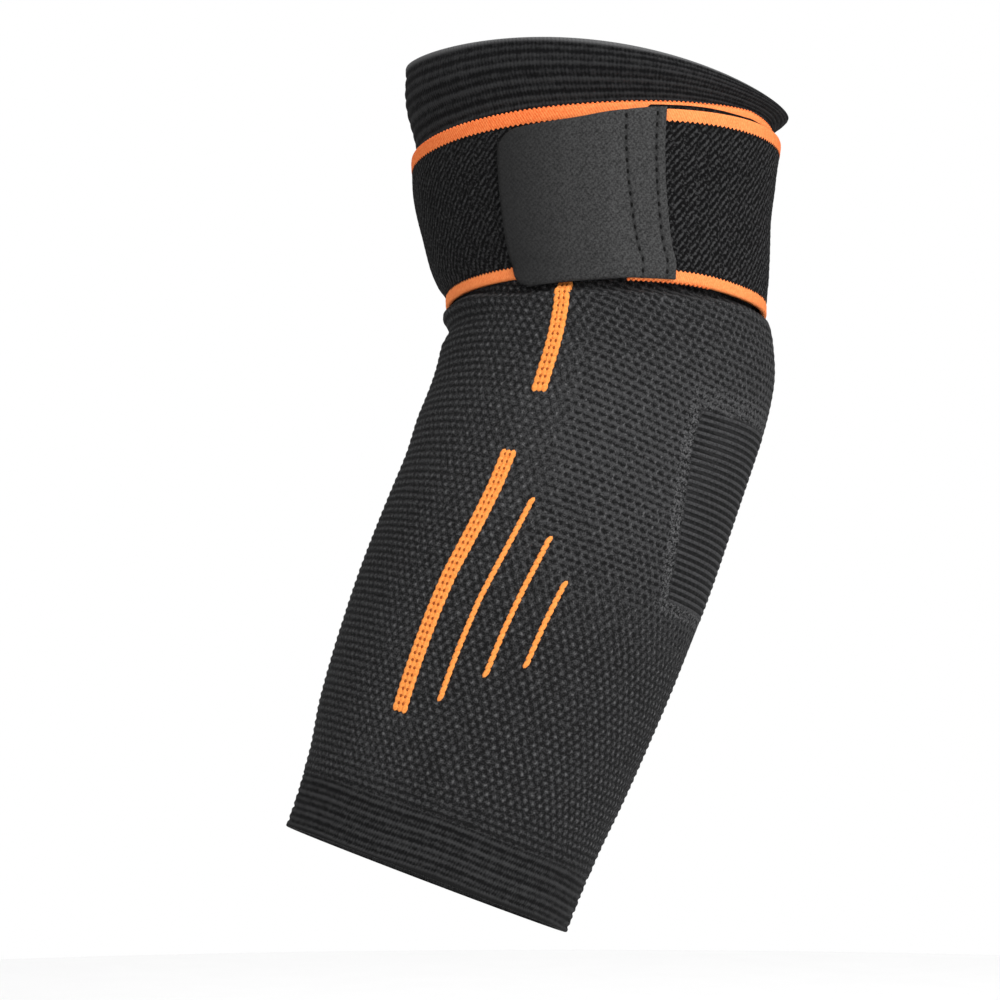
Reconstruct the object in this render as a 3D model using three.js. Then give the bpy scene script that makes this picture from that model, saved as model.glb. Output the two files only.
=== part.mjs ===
// A knitted elbow support sleeve with a wrap-around elastic strap, in the form that it has when worn
// on a slightly bent arm. Millimetres, +Z up. The origin is the middle of the elbow, on the arm's axis.
// +X points to the back of the elbow, -X to its crease, and -Y to the side on which the strap closes.
// Pieces: the knitted sleeve, its upper and lower ribbed cuffs, the elastic strap and its hook tab.
import * as THREE from 'three';

// Lengths along the arm
const upperLength = 85.5; // elbow to the upper edge
const forearmLength = 164.3; // elbow to the lower edge
const upperCuffHeight = 24;
const lowerCuffHeight = 17;

// Widths seen from the side of the arm, and depths across it
const topWidth = 117.5;
const topDepth = 97;
const elbowWidth = 98.5;
const elbowDepth = 84;
const forearmWidth = 100.5;
const forearmDepth = 86;
const hemWidth = 89;
const hemDepth = 75;

// How the arm is held, in degrees
const upperSlope = 4.4; // the upper arm's rows rise towards the back of the elbow
const forearmSlope = -20.8; // the forearm's rows fall towards it
const upperLean = 13.3; // the upper arm leans away from the strap's closing side
const forearmLean = 6;
const topRake = 12; // the upper edge is cut lower at the back of the arm
const topPinch = 0.17; // and is drawn a little flat towards its two sides
const bendReach = 22; // the axis is a curve this far each way from the elbow

// Cloth
const knitWall = 2;
const cuffWall = 2.4;
const ribPitch = 2.4;
const ribHeight = 0.5;
const creaseDepth = 1.8; // the fold at the inner side of the elbow
const creaseHeight = 8; // its place above the elbow
const creaseSpan = 7;
const cuffSeam = 0.3; // the gap where a cuff meets the sleeve

// Strap and tab
const strapWidth = 51;
const strapMiddle = 0.504 * upperLength;
const strapThickness = 1.5;
const strapUnderlap = 78; // how far the inner end runs on under the tab and the outer turn
const strapDrift = 3.2; // the outer turn lies this much lower
const strapLeadIn = 30; // length over which the sleeve sinks to the inner end's depth
const layerGap = 0.36;
const tabLength = 51;
const tabWidth = 48.2;
const tabThickness = 1.3;
const tabCorner = 6.5;
const tabSeam = 15.5; // length of the tab that is sewn over the strap's end
const tabAngle = 94.5; // the tab's middle, in degrees from the back of the elbow towards the front
const tabDrop = 0.6; // it sits this much lower than the outer turn
const tabTilt = 2.8; // and is stuck down askew, higher at its sewn edge
const bulgeRun = 5; // the knit swells out over this length above and below the strap

// How finely the curves are divided
const aroundSteps = 36;
const strapStepDegrees = 8;
const acrossShares = [0, 0.15, 0.3, 0.45, 0.6, 0.73, 0.84, 0.93, 1]; // closer at the cinched lower edge
const sleeveRowHeight = 12;

const radians = THREE.MathUtils.degToRad;
const mix = THREE.MathUtils.lerp;
const ease = THREE.MathUtils.smoothstep;
const FULL_TURN = 360;
const CREASE_ANGLE = 180;

// The sections, from the upper edge to the lower. along is the place on the arm, positive above the
// elbow; wide and deep are the size; shift is the share of the width by which the section stands
// off the axis, to the back of the elbow; turn is the share of the bend that the row has taken.
const sections = [
  [1.0 * upperLength, 1.0 * topWidth, 1.0 * topDepth, 0.012, 0.0],
  [0.885 * upperLength, 0.977 * topWidth, 0.979 * topDepth, -0.004, 0.01],
  [0.78 * upperLength, 0.968 * topWidth, 0.959 * topDepth, -0.008, 0.03],
  [0.63 * upperLength, 0.946 * topWidth, 0.934 * topDepth, -0.022, 0.08],
  [0.49 * upperLength, 0.911 * topWidth, 0.907 * topDepth, -0.028, 0.13],
  [0.36 * upperLength, 1.055 * elbowWidth, 1.021 * elbowDepth, -0.027, 0.162],
  [0.292 * upperLength, 1.029 * elbowWidth, 1.011 * elbowDepth, -0.023, 0.173],
  [0.24 * upperLength, 0.997 * elbowWidth, 1.005 * elbowDepth, -0.016, 0.182],
  [0.187 * upperLength, 0.99 * elbowWidth, 1.0 * elbowDepth, -0.019, 0.192],
  [0.09 * upperLength, 1.005 * elbowWidth, 1.0 * elbowDepth, -0.006, 0.235],
  [-0.03 * forearmLength, 1.027 * elbowWidth, 1.02 * elbowDepth, 0.002, 0.32],
  [-0.13 * forearmLength, 1.013 * forearmWidth, 1.0 * forearmDepth, 0.0, 0.43],
  [-0.25 * forearmLength, 1.0 * forearmWidth, 1.01 * forearmDepth, 0.007, 0.585],
  [-0.37 * forearmLength, 1.002 * forearmWidth, 1.01 * forearmDepth, 0.008, 0.745],
  [-0.5 * forearmLength, 0.996 * forearmWidth, 1.0 * forearmDepth, 0.006, 0.865],
  [-0.63 * forearmLength, 0.977 * forearmWidth, 0.98 * forearmDepth, 0.006, 0.935],
  [-0.75 * forearmLength, 1.071 * hemWidth, 1.07 * hemDepth, 0.008, 0.96],
  [-0.87 * forearmLength, 1.018 * hemWidth, 1.02 * hemDepth, 0.016, 0.98],
  [-1.0 * forearmLength, 1.0 * hemWidth, 1.0 * hemDepth, 0.02, 1.0],
].map(([along, wide, deep, shift, turn]) => ({ along, wide, deep, shift, turn }));

// The slope of one column of the sections at a row, for a curve with no overshoot.
function slopeAt(index, column) {
  const before = sections[index - 1];
  const here = sections[index];
  const after = sections[index + 1];
  if (!before || !after) return 0;
  const rise = (here[column] - before[column]) / (here.along - before.along);
  const next = (after[column] - here[column]) / (after.along - here.along);
  return rise * next <= 0 ? 0 : (2 * rise * next) / (rise + next);
}

// One column of the sections at any place along the arm, as a smooth curve through the rows.
function sectionValue(along, column) {
  const last = sections.length - 2;
  const found = sections.findIndex((row, i) => i > 0 && along >= row.along) - 1;
  const index = found < 0 ? last : Math.min(found, last);
  const from = sections[index];
  const to = sections[index + 1];
  const span = to.along - from.along;
  const t = THREE.MathUtils.clamp((along - from.along) / span, 0, 1);
  const start = slopeAt(index, column) * span;
  const end = slopeAt(index + 1, column) * span;
  const square = t * t;
  const cube = square * t;
  return from[column] * (2 * cube - 3 * square + 1) + start * (cube - 2 * square + t)
    + to[column] * (3 * square - 2 * cube) + end * (cube - square);
}

// The direction up the arm for a row that slopes and leans by these angles.
function armDirection(slope, lean) {
  return new THREE.Vector3(
    -Math.sin(slope) * Math.cos(lean),
    Math.sin(lean),
    Math.cos(slope) * Math.cos(lean),
  );
}

const upperAxis = armDirection(radians(upperSlope), radians(upperLean));
const forearmAxis = armDirection(radians(forearmSlope), radians(forearmLean));

// The arm's axis: two straight limbs joined by a curve at the elbow.
function axisPoint(along) {
  if (along >= bendReach) return upperAxis.clone().multiplyScalar(along);
  if (along <= -bendReach) return forearmAxis.clone().multiplyScalar(along);
  const bend = new THREE.QuadraticBezierCurve3(
    forearmAxis.clone().multiplyScalar(-bendReach),
    new THREE.Vector3(),
    upperAxis.clone().multiplyScalar(bendReach),
  );
  return bend.getPoint((along + bendReach) / (2 * bendReach));
}

const strapTop = strapMiddle + strapWidth / 2;
const strapBottom = strapMiddle - strapWidth / 2;
const layer = strapThickness + layerGap;
const tabMiddle = strapMiddle - strapDrift - tabDrop;
const tabBottom = tabMiddle - tabWidth / 2 - (tabLength / 2) * Math.tan(radians(tabTilt));

// The row round the arm at a place: its centre, its two directions and its half sizes.
function rowAt(along) {
  const turn = sectionValue(along, 'turn');
  const raked = THREE.MathUtils.clamp((along - strapTop) / (upperLength - strapTop), 0, 1);
  const slope = radians(mix(upperSlope, forearmSlope, turn) - topRake * raked);
  const lean = radians(mix(upperLean, forearmLean, turn));
  const back = new THREE.Vector3(Math.cos(slope), 0, Math.sin(slope));
  const front = armDirection(slope, lean).cross(back).negate();
  const wide = sectionValue(along, 'wide');
  const centre = axisPoint(along).addScaledVector(back, wide * sectionValue(along, 'shift'));
  const halfDeep = sectionValue(along, 'deep') / 2;
  return { centre, back, front, halfWide: wide / 2, halfDeep, pinch: topPinch * raked };
}

// A point of the worn outline, raised or sunk by a lift. The angle runs from the back of the elbow (0)
// over the front (90) to the crease (180).
function outlinePoint(along, angle, lift) {
  const row = rowAt(along);
  const turn = radians(angle);
  const flat = 1 - row.pinch * Math.cos(turn) * Math.cos(turn);
  return row.centre
    .addScaledVector(row.back, Math.cos(turn) * (row.halfWide + lift))
    .addScaledVector(row.front, Math.sin(turn) * flat * (row.halfDeep + lift));
}

// The angle that lies a length further round the row at a place on the arm.
function angleAfter(along, start, length) {
  const { halfWide, halfDeep } = rowAt(along);
  const step = Math.sign(length) * 0.5;
  let angle = start;
  let left = Math.abs(length);
  while (left > 0) {
    const turn = radians(angle);
    const walked = Math.hypot(halfWide * Math.sin(turn), halfDeep * Math.cos(turn)) * radians(0.5);
    angle += step * Math.min(1, left / walked);
    left -= walked;
  }
  return angle;
}

// The strap's end lies under the tab, parallel to its sewn edge.
function strapEndAt(along) {
  return angleAfter(along, tabAngle, tabSeam - tabLength / 2);
}

const tabFreeAngle = angleAfter(strapMiddle, tabAngle, tabLength / 2);
const strapStartAngle = angleAfter(strapMiddle, tabAngle, -strapUnderlap);
const climbStart = angleAfter(strapMiddle, strapEndAt(strapMiddle), 2 * layer);
const climbEnd = angleAfter(strapMiddle, strapStartAngle, -strapLeadIn) + FULL_TURN;

// 0 on the strap's inner end, 1 once it has climbed to the outer turn.
function climbed(angle) {
  return ease(angle, climbStart, climbEnd);
}

// The same angle counted from the strap's inner end.
function countedFromStart(angle) {
  return THREE.MathUtils.euclideanModulo(angle - strapStartAngle, FULL_TURN) + strapStartAngle;
}

// 0 round most of the arm, rising to 1 where the strap's inner end begins.
function leadIn(counted) {
  return ease(counted, climbEnd, strapStartAngle + FULL_TURN);
}

// How deep the strap presses into the knit, as a number of its layers.
function layersAt(angle) {
  const counted = countedFromStart(angle);
  return 2 - climbed(counted) + leadIn(counted);
}

const lowestEdge = Math.min(tabBottom, strapBottom - strapDrift) - layerGap;

// The place below which the knit swells out: just under the tab, or under the strap where it is free.
function lowEdge(angle) {
  const counted = countedFromStart(angle);
  const free = strapBottom - strapDrift * climbed(counted) - layerGap;
  const pastTab = ease(counted, tabFreeAngle + 5, tabFreeAngle + 30) * (1 - leadIn(counted));
  return mix(lowestEdge, free, pastTab);
}

// The knit's surface against the worn outline: sunk under the strap, folded at the crease.
function knitLift(along, angle) {
  const high = strapTop + layerGap;
  const low = lowEdge(angle);
  const above = ease(along, high, high + bulgeRun);
  const below = ease(-along, -low, bulgeRun - low);
  const pressed = layersAt(angle) * layer * (1 - Math.max(above, below));
  const away = (along - creaseHeight) / (creaseSpan / 2);
  const facing = Math.max(0, -Math.cos(radians(angle)));
  const fold = creaseDepth * Math.exp(-away * away) * facing * facing;
  return -Math.max(pressed, fold);
}

// One closed wall between an outer and an inner grid of points. Each grid is a list of rows. A grid
// that goes round closes on itself, and the other sides get an edge face.
function wallGeometry(outer, inner, goesRound) {
  const rows = outer.length;
  const columns = outer[0].length;
  const points = [...outer.flat(), ...inner.flat()];
  const outerIndex = (i, j) => i * columns + (j % columns);
  const innerIndex = (i, j) => rows * columns + outerIndex(i, j);
  const faces = [];
  const quad = (a, b, c, d) => faces.push(a, b, c, a, c, d);
  const lastColumn = goesRound ? columns : columns - 1;
  for (let j = 0; j < lastColumn; j += 1) {
    for (let i = 0; i < rows - 1; i += 1) {
      quad(outerIndex(i, j), outerIndex(i, j + 1), outerIndex(i + 1, j + 1), outerIndex(i + 1, j));
      quad(innerIndex(i, j), innerIndex(i + 1, j), innerIndex(i + 1, j + 1), innerIndex(i, j + 1));
    }
    quad(outerIndex(0, j), innerIndex(0, j), innerIndex(0, j + 1), outerIndex(0, j + 1));
    quad(outerIndex(rows - 1, j), outerIndex(rows - 1, j + 1), innerIndex(rows - 1, j + 1),
      innerIndex(rows - 1, j));
  }
  for (let i = 0; !goesRound && i < rows - 1; i += 1) {
    quad(outerIndex(i, 0), outerIndex(i + 1, 0), innerIndex(i + 1, 0), innerIndex(i, 0));
    quad(outerIndex(i, lastColumn), innerIndex(i, lastColumn), innerIndex(i + 1, lastColumn),
      outerIndex(i + 1, lastColumn));
  }
  const geometry = new THREE.BufferGeometry().setFromPoints(points);
  geometry.setIndex(faces);
  geometry.computeVertexNormals();
  return geometry;
}

// Values spaced evenly from one end to the other.
function spread(from, to, steps) {
  return Array.from({ length: steps + 1 }, (_, i) => mix(from, to, i / steps));
}

const roundAngles = spread(0, FULL_TURN, aroundSteps).slice(1);

// A knitted tube through rows of the arm. A row may follow the strap's lower edge by a share, and
// may be sunk by a relief.
function knitTube(rows, wall) {
  const place = (row, angle) => row.along + (row.follow ?? 0) * (lowEdge(angle) - lowestEdge);
  const grid = (lift) => rows.map((row) => roundAngles.map((angle) => {
    const along = place(row, angle);
    return outlinePoint(along, angle, knitLift(along, angle) + lift(row));
  }));
  return wallGeometry(grid((row) => -(row.sunk ?? 0)), grid(() => -wall), true);
}

// A ribbed cuff: its rows are the grooves and the crests of the ribs in turn.
function ribbedCuff(from, to) {
  const ribs = Math.round(Math.abs(to - from) / ribPitch);
  const rows = spread(from, to, 2 * ribs).map((along, i) => ({ along, sunk: i % 2 === 0 ? ribHeight : 0 }));
  return knitTube(rows, cuffWall);
}

const upperSeam = upperLength - upperCuffHeight;
const lowerSeam = lowerCuffHeight - forearmLength;

// Rows at shares of the way between two places, with the share by which they follow the strap.
function rowsBetween(from, to, shares) {
  return shares.map((share) => ({
    along: mix(from.along, to.along, share),
    follow: mix(from.follow, to.follow, share),
  }));
}

// The sleeve's rows lie closer where the knit swells out below the strap and folds at the crease.
function sleeveRows() {
  const top = { along: upperSeam - cuffSeam, follow: 0 };
  const underStrap = acrossShares
    .map((across) => ({ along: lowestEdge + (1 - across) * strapWidth, follow: 1 }))
    .filter((row) => row.along < top.along - strapDrift - 2 * ribPitch);
  const swellTop = { along: lowestEdge, follow: 1 };
  const swellEnd = { along: lowestEdge - bulgeRun, follow: 1 };
  const foldEnd = { along: Math.min(creaseHeight, swellEnd.along) - creaseSpan, follow: 0 };
  const bottom = { along: lowerSeam + cuffSeam, follow: 0 };
  const forearmSteps = Math.ceil((foldEnd.along - bottom.along) / sleeveRowHeight);
  return [
    top,
    ...underStrap,
    ...rowsBetween(swellTop, swellEnd, spread(0, 1, 3).slice(1)),
    ...rowsBetween(swellEnd, foldEnd, spread(0, 1, 4).slice(1)),
    ...rowsBetween(foldEnd, bottom, spread(0, 1, forearmSteps).slice(1)),
  ];
}

// The strap runs from its inner end, once round the arm, to its end under the tab.
function strapGeometry() {
  const length = strapEndAt(strapMiddle) + FULL_TURN - strapStartAngle;
  const shares = spread(0, 1, Math.ceil(length / strapStepDegrees));
  const grid = (lift) => acrossShares.map((across) => (
    shares.map((share) => {
      const start = strapTop - across * strapWidth;
      const angle = mix(strapStartAngle, strapEndAt(start - strapDrift) + FULL_TURN, share);
      const climb = climbed(angle);
      return outlinePoint(start - strapDrift * climb, angle, lift - layer * (1 - climb));
    })
  ));
  return wallGeometry(grid(0), grid(-strapThickness), false);
}

// The distance round the arm from the tab's sewn edge to each of its columns.
function tabColumns() {
  const seamEnd = tabSeam + layerGap;
  const stepEnd = tabSeam + 2 * layer;
  const cornerShares = [0.7, 0.35, 0.1, 0];
  return [
    ...spread(0, seamEnd, 3),
    ...spread(stepEnd, tabLength - tabCorner, 5),
    ...cornerShares.map((share) => tabLength - share * tabCorner),
  ];
}

// The tab lies over the strap's end, steps down past it and sticks to the turn below.
function tabGeometry() {
  const columns = tabColumns();
  const grid = (thickness) => spread(0.5, -0.5, 8).map((share) => (
    columns.map((distance) => {
      const cut = Math.max(0, distance - (tabLength - tabCorner));
      const rounding = tabCorner - Math.sqrt(tabCorner * tabCorner - cut * cut);
      const across = distance - tabLength / 2;
      const along = tabMiddle + share * (tabWidth - 2 * rounding) - across * Math.tan(radians(tabTilt));
      const angle = angleAfter(along, tabAngle, across);
      const down = ease(distance, tabSeam + layerGap, tabSeam + 2 * layer);
      return outlinePoint(along, angle, layerGap + thickness - layer * down * (1 - climbed(angle)));
    })
  ));
  return wallGeometry(grid(tabThickness), grid(0), false);
}

const knitBlack = new THREE.MeshStandardMaterial({ color: 0x3a3a3a, roughness: 0.9 });
const cuffBlack = new THREE.MeshStandardMaterial({ color: 0x2b2b2b, roughness: 0.9 });
const elasticBlack = new THREE.MeshStandardMaterial({ color: 0x212121, roughness: 0.8 });
const tabGrey = new THREE.MeshStandardMaterial({ color: 0x444444, roughness: 0.95 });

function namedMesh(name, geometry, material) {
  const mesh = new THREE.Mesh(geometry, material);
  mesh.name = name;
  return mesh;
}

const brace = new THREE.Group();
brace.add(
  namedMesh('sleeve', knitTube(sleeveRows(), knitWall), knitBlack),
  namedMesh('upper_cuff', ribbedCuff(upperLength, upperSeam), cuffBlack),
  namedMesh('lower_cuff', ribbedCuff(lowerSeam, -forearmLength), cuffBlack),
  namedMesh('strap', strapGeometry(), elasticBlack),
  namedMesh('hook_tab', tabGeometry(), tabGrey),
);

export default brace;
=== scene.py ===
"""The visual model of an elbow support sleeve with a wrap-around elastic strap.

Sizes are in millimetres and angles in degrees where the worn form is worked out. Meshes are in metres.
"""

import logging
import math
from dataclasses import dataclass, field
from enum import Enum, IntEnum
from typing import Any, Callable, Sequence

import bpy
import numpy as np
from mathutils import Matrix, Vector


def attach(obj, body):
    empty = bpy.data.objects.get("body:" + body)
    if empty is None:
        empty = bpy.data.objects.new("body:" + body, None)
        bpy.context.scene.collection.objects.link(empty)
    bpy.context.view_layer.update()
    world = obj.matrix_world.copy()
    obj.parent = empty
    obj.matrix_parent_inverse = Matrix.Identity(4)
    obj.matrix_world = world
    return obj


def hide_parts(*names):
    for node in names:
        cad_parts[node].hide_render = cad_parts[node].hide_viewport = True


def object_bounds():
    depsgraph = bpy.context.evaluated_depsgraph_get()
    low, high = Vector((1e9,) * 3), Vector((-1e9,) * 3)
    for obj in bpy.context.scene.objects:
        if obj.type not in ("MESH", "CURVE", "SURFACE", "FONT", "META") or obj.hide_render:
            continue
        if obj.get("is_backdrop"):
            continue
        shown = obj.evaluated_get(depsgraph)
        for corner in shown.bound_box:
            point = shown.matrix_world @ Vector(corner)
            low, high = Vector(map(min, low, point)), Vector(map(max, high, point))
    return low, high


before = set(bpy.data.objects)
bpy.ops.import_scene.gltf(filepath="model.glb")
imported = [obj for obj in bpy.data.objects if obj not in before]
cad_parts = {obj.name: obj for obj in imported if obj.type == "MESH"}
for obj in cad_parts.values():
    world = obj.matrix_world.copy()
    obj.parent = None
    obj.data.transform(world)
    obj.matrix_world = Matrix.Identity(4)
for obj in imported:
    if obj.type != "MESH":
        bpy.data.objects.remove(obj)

LOG = logging.getLogger("elbow_brace")
MM = 0.001
TAU = 2 * math.pi
FULL_TURN = 360.0
BODY = "root"
Colour = tuple[float, float, float]
Size = tuple[float, float, float]
Span = tuple[float, float]
Route = tuple[Span, ...]


class Slot(Enum):
    """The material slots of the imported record."""

    KNIT = "knit"
    RIBBED_KNIT = "ribbed_knit"
    ELASTIC = "elastic"
    HOOK_TAPE = "hook_tape"


class End(Enum):
    """The two open ends of the sleeve."""

    UPPER = 1
    LOWER = -1


class Column(IntEnum):
    """The columns of the form's table of sections."""

    ALONG = 0
    WIDE = 1
    DEEP = 2
    SHIFT = 3
    TURN = 4


def ease(value: np.ndarray, low: Any, high: Any) -> np.ndarray:
    """A smooth step.

    Args:
        value: Where it is read.
        low: Where it leaves 0.
        high: Where it reaches 1.

    Returns:
        The step, from 0 to 1.
    """
    share = np.clip((value - low) / (high - low), 0.0, 1.0)
    return share * share * (3 - 2 * share)


def mix(start: Any, end: Any, share: Any) -> Any:
    """Returns the value at a share of the way from start to end."""
    return start + (end - start) * share


def wave(turns: Any) -> Any:
    """Returns the cosine of this many whole turns."""
    return np.cos(TAU * turns)


def together(*values: Any) -> Sequence[np.ndarray]:
    """Returns the values as float arrays of one shape."""
    return np.broadcast_arrays(*(np.asarray(value, dtype=float) for value in values))


def looked_up(route: Route, along: Any) -> Any:
    """Returns the second value of a route at some places. A route starts at its highest place."""
    table = np.array(route)[::-1]
    return np.interp(along, table[:, 0], table[:, 1])


# The worn form


@dataclass(frozen=True)
class WornForm:
    """The worn outline of the brace, in the same sizes as its solids.

    along is a place on the arm, positive above the elbow. An angle round the arm runs from the back of
    the elbow (0) over the strap's closing side (90) to the crease (180).
    """

    upper_length: float = 85.5
    forearm_length: float = 164.3
    top: Span = (117.5, 97.0)
    elbow: Span = (98.5, 84.0)
    forearm: Span = (100.5, 86.0)
    hem: Span = (89.0, 75.0)
    upper_slope: float = 4.4
    forearm_slope: float = -20.8
    upper_lean: float = 13.3
    forearm_lean: float = 6.0
    top_rake: float = 12.0
    top_pinch: float = 0.5
    bend_reach: float = 22.0
    crease_depth: float = 1.8
    crease_height: float = 8.0
    crease_span: float = 7.0
    strap_width: float = 51.0
    strap_share: float = 0.504
    strap_thickness: float = 1.5
    strap_underlap: float = 78.0
    strap_drift: float = 3.2
    strap_lead_in: float = 30.0
    layer_gap: float = 0.36
    tab_length: float = 51.0
    tab_width: float = 48.2
    tab_seam: float = 15.5
    tab_angle: float = 94.5
    tab_drop: float = 0.6
    tab_tilt: float = 2.8
    bulge_run: float = 2.6
    back_run: float = 1.2
    run_above: float = 12.0
    back_cosines: Span = (0.5, 0.85)
    tab_shade: Span = (5.0, 30.0)
    table: np.ndarray = field(init=False, repr=False, compare=False)
    slopes: np.ndarray = field(init=False, repr=False, compare=False)

    def __post_init__(self) -> None:
        """Works out the table of sections and its slopes."""
        object.__setattr__(self, "table", self._sections())
        object.__setattr__(self, "slopes", self._slopes())

    def _sections(self) -> np.ndarray:
        """Works out the sections from shares of the named sizes.

        Returns:
            A row for each: along, wide, deep, shift as a share of the width, and turn from limb to limb.
        """
        rows = [
            (1.0, self.top, 1.0, 1.0, 0.012, 0.0),
            (0.885, self.top, 0.977, 0.979, -0.004, 0.01),
            (0.78, self.top, 0.968, 0.959, -0.008, 0.03),
            (0.63, self.top, 0.946, 0.934, -0.022, 0.08),
            (0.49, self.top, 0.911, 0.907, -0.028, 0.13),
            (0.36, self.elbow, 1.055, 1.021, -0.027, 0.162),
            (0.292, self.elbow, 1.029, 1.011, -0.023, 0.173),
            (0.24, self.elbow, 0.997, 1.005, -0.016, 0.182),
            (0.187, self.elbow, 0.99, 1.0, -0.019, 0.192),
            (0.09, self.elbow, 1.005, 1.0, -0.006, 0.235),
            (-0.03, self.elbow, 1.027, 1.02, 0.002, 0.32),
            (-0.13, self.forearm, 1.013, 1.0, 0.0, 0.43),
            (-0.25, self.forearm, 1.0, 1.01, 0.007, 0.585),
            (-0.37, self.forearm, 1.002, 1.01, 0.008, 0.745),
            (-0.5, self.forearm, 0.996, 1.0, 0.006, 0.865),
            (-0.63, self.forearm, 0.977, 0.98, 0.006, 0.935),
            (-0.75, self.hem, 1.071, 1.07, 0.008, 0.96),
            (-0.87, self.hem, 1.018, 1.02, 0.016, 0.98),
            (-1.0, self.hem, 1.0, 1.0, 0.02, 1.0),
        ]
        lengths = (self.forearm_length, self.upper_length)
        return np.array(
            [
                (share * lengths[share > 0], wide * size[0], deep * size[1], shift, turn)
                for share, size, wide, deep, shift, turn in rows
            ]
        )

    def _slopes(self) -> np.ndarray:
        """Works out slopes that give curves with no overshoot.

        Returns:
            Each column's slope at each row, in the shape of the table.
        """
        steps = np.diff(self.table, axis=0)
        rises = steps / steps[:, :1]
        before, after = rises[:-1], rises[1:]
        same_way = before * after > 0
        total = np.where(same_way, before + after, 1.0)
        slopes = np.zeros_like(self.table)
        slopes[1:-1] = np.where(same_way, 2 * before * after / total, 0.0)
        return slopes

    def _value(self, along: np.ndarray, column: Column) -> np.ndarray:
        """Reads one column of the sections as a smooth curve.

        Args:
            along: Places on the arm.
            column: The column that is read.

        Returns:
            Its value at each place.
        """
        places = self.table[:, Column.ALONG]
        after = np.clip(np.searchsorted(-places, -along, side="left"), 1, len(places) - 1)
        before = after - 1
        span = places[after] - places[before]
        t = np.clip((along - places[before]) / span, 0.0, 1.0)
        square = t * t
        cube = square * t
        values, slopes = self.table[:, column], self.slopes[:, column]
        return (
            values[before] * (2 * cube - 3 * square + 1)
            + slopes[before] * span * (cube - 2 * square + t)
            + values[after] * (3 * square - 2 * cube)
            + slopes[after] * span * (cube - square)
        )

    @staticmethod
    def _direction(slope: np.ndarray, lean: np.ndarray) -> np.ndarray:
        """Returns the direction up the arm for rows that slope and lean by these radians."""
        return np.stack(
            [-np.sin(slope) * np.cos(lean), np.sin(lean) + 0 * slope, np.cos(slope) * np.cos(lean)], -1
        )

    def _axis(self, along: np.ndarray) -> np.ndarray:
        """Finds the arm's axis: two straight limbs joined by a curve at the elbow.

        Args:
            along: Places on the arm.

        Returns:
            The axis's points in millimetres.
        """
        upper = self._direction(np.radians(self.upper_slope), np.radians(self.upper_lean))
        lower = self._direction(np.radians(self.forearm_slope), np.radians(self.forearm_lean))
        place = along[..., None]
        reach = self.bend_reach
        t = (place + reach) / (2 * reach)
        bend = t * t * reach * upper - (1 - t) ** 2 * reach * lower
        return np.where(place >= reach, place * upper, np.where(place <= -reach, place * lower, bend))

    @property
    def strap_middle(self) -> float:
        """The height of the strap's middle above the elbow."""
        return self.strap_share * self.upper_length

    @property
    def strap_top(self) -> float:
        """The place of the inner turn's upper edge."""
        return self.strap_middle + self.strap_width / 2

    @property
    def strap_bottom(self) -> float:
        """The place of the inner turn's lower edge."""
        return self.strap_middle - self.strap_width / 2

    @property
    def layer(self) -> float:
        """One turn of the strap with the gap beside it."""
        return self.strap_thickness + self.layer_gap

    @property
    def tab_middle(self) -> float:
        """The place of the tab's middle."""
        return self.strap_middle - self.strap_drift - self.tab_drop

    @property
    def lowest_edge(self) -> float:
        """The lowest place that the strap or the tab reaches, less the gap under it."""
        tilted = self.tab_width / 2 + self.tab_length / 2 * math.tan(math.radians(self.tab_tilt))
        return min(self.tab_middle - tilted, self.strap_bottom - self.strap_drift) - self.layer_gap

    def row(self, along: np.ndarray) -> tuple[np.ndarray, ...]:
        """The rows round the arm at some places.

        Args:
            along: The places.

        Returns:
            Centres, directions to the back, directions to the front, half widths, half depths, pinches.
        """
        turn = self._value(along, Column.TURN)
        raked = np.clip((along - self.strap_top) / (self.upper_length - self.strap_top), 0.0, 1.0)
        slope = np.radians(mix(self.upper_slope, self.forearm_slope, turn) - self.top_rake * raked)
        lean = np.radians(mix(self.upper_lean, self.forearm_lean, turn))
        back = np.stack([np.cos(slope), 0 * slope, np.sin(slope)], -1)
        front = -np.cross(self._direction(slope, lean), back)
        wide = self._value(along, Column.WIDE)
        half_deep = self._value(along, Column.DEEP) / 2
        centre = self._axis(along) + back * (wide * self._value(along, Column.SHIFT))[..., None]
        return centre, back, front, wide / 2, half_deep, self.top_pinch * raked

    def point(self, along: Any, angle: Any, lift: Any = 0.0) -> np.ndarray:
        """Points of the worn outline.

        Args:
            along: Places on the arm.
            angle: Angles round it.
            lift: How far the points are raised off the outline.

        Returns:
            The points in metres, with one more axis than the arguments.
        """
        along, angle, lift = together(along, angle, lift)
        centre, back, front, half_wide, half_deep, pinch = self.row(along)
        turn = np.radians(angle)
        flat = 1 - pinch * (1 - np.abs(np.sin(turn)))
        wide = np.cos(turn) * (half_wide + lift)
        deep = np.sin(turn) * flat * (half_deep + lift)
        return MM * (centre + back * wide[..., None] + front * deep[..., None])

    def facing(self, along: Any, angle: Any) -> np.ndarray:
        """Finds the outward direction of the worn outline.

        Args:
            along: Places on the arm.
            angle: Angles round it.

        Returns:
            A unit vector at each.
        """
        step = 0.2
        down = self.point(np.asarray(along) - step, angle) - self.point(np.asarray(along) + step, angle)
        onward = self.point(along, np.asarray(angle) + step) - self.point(along, np.asarray(angle) - step)
        out = np.cross(down, onward)
        return out / np.linalg.norm(out, axis=-1, keepdims=True)

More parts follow.
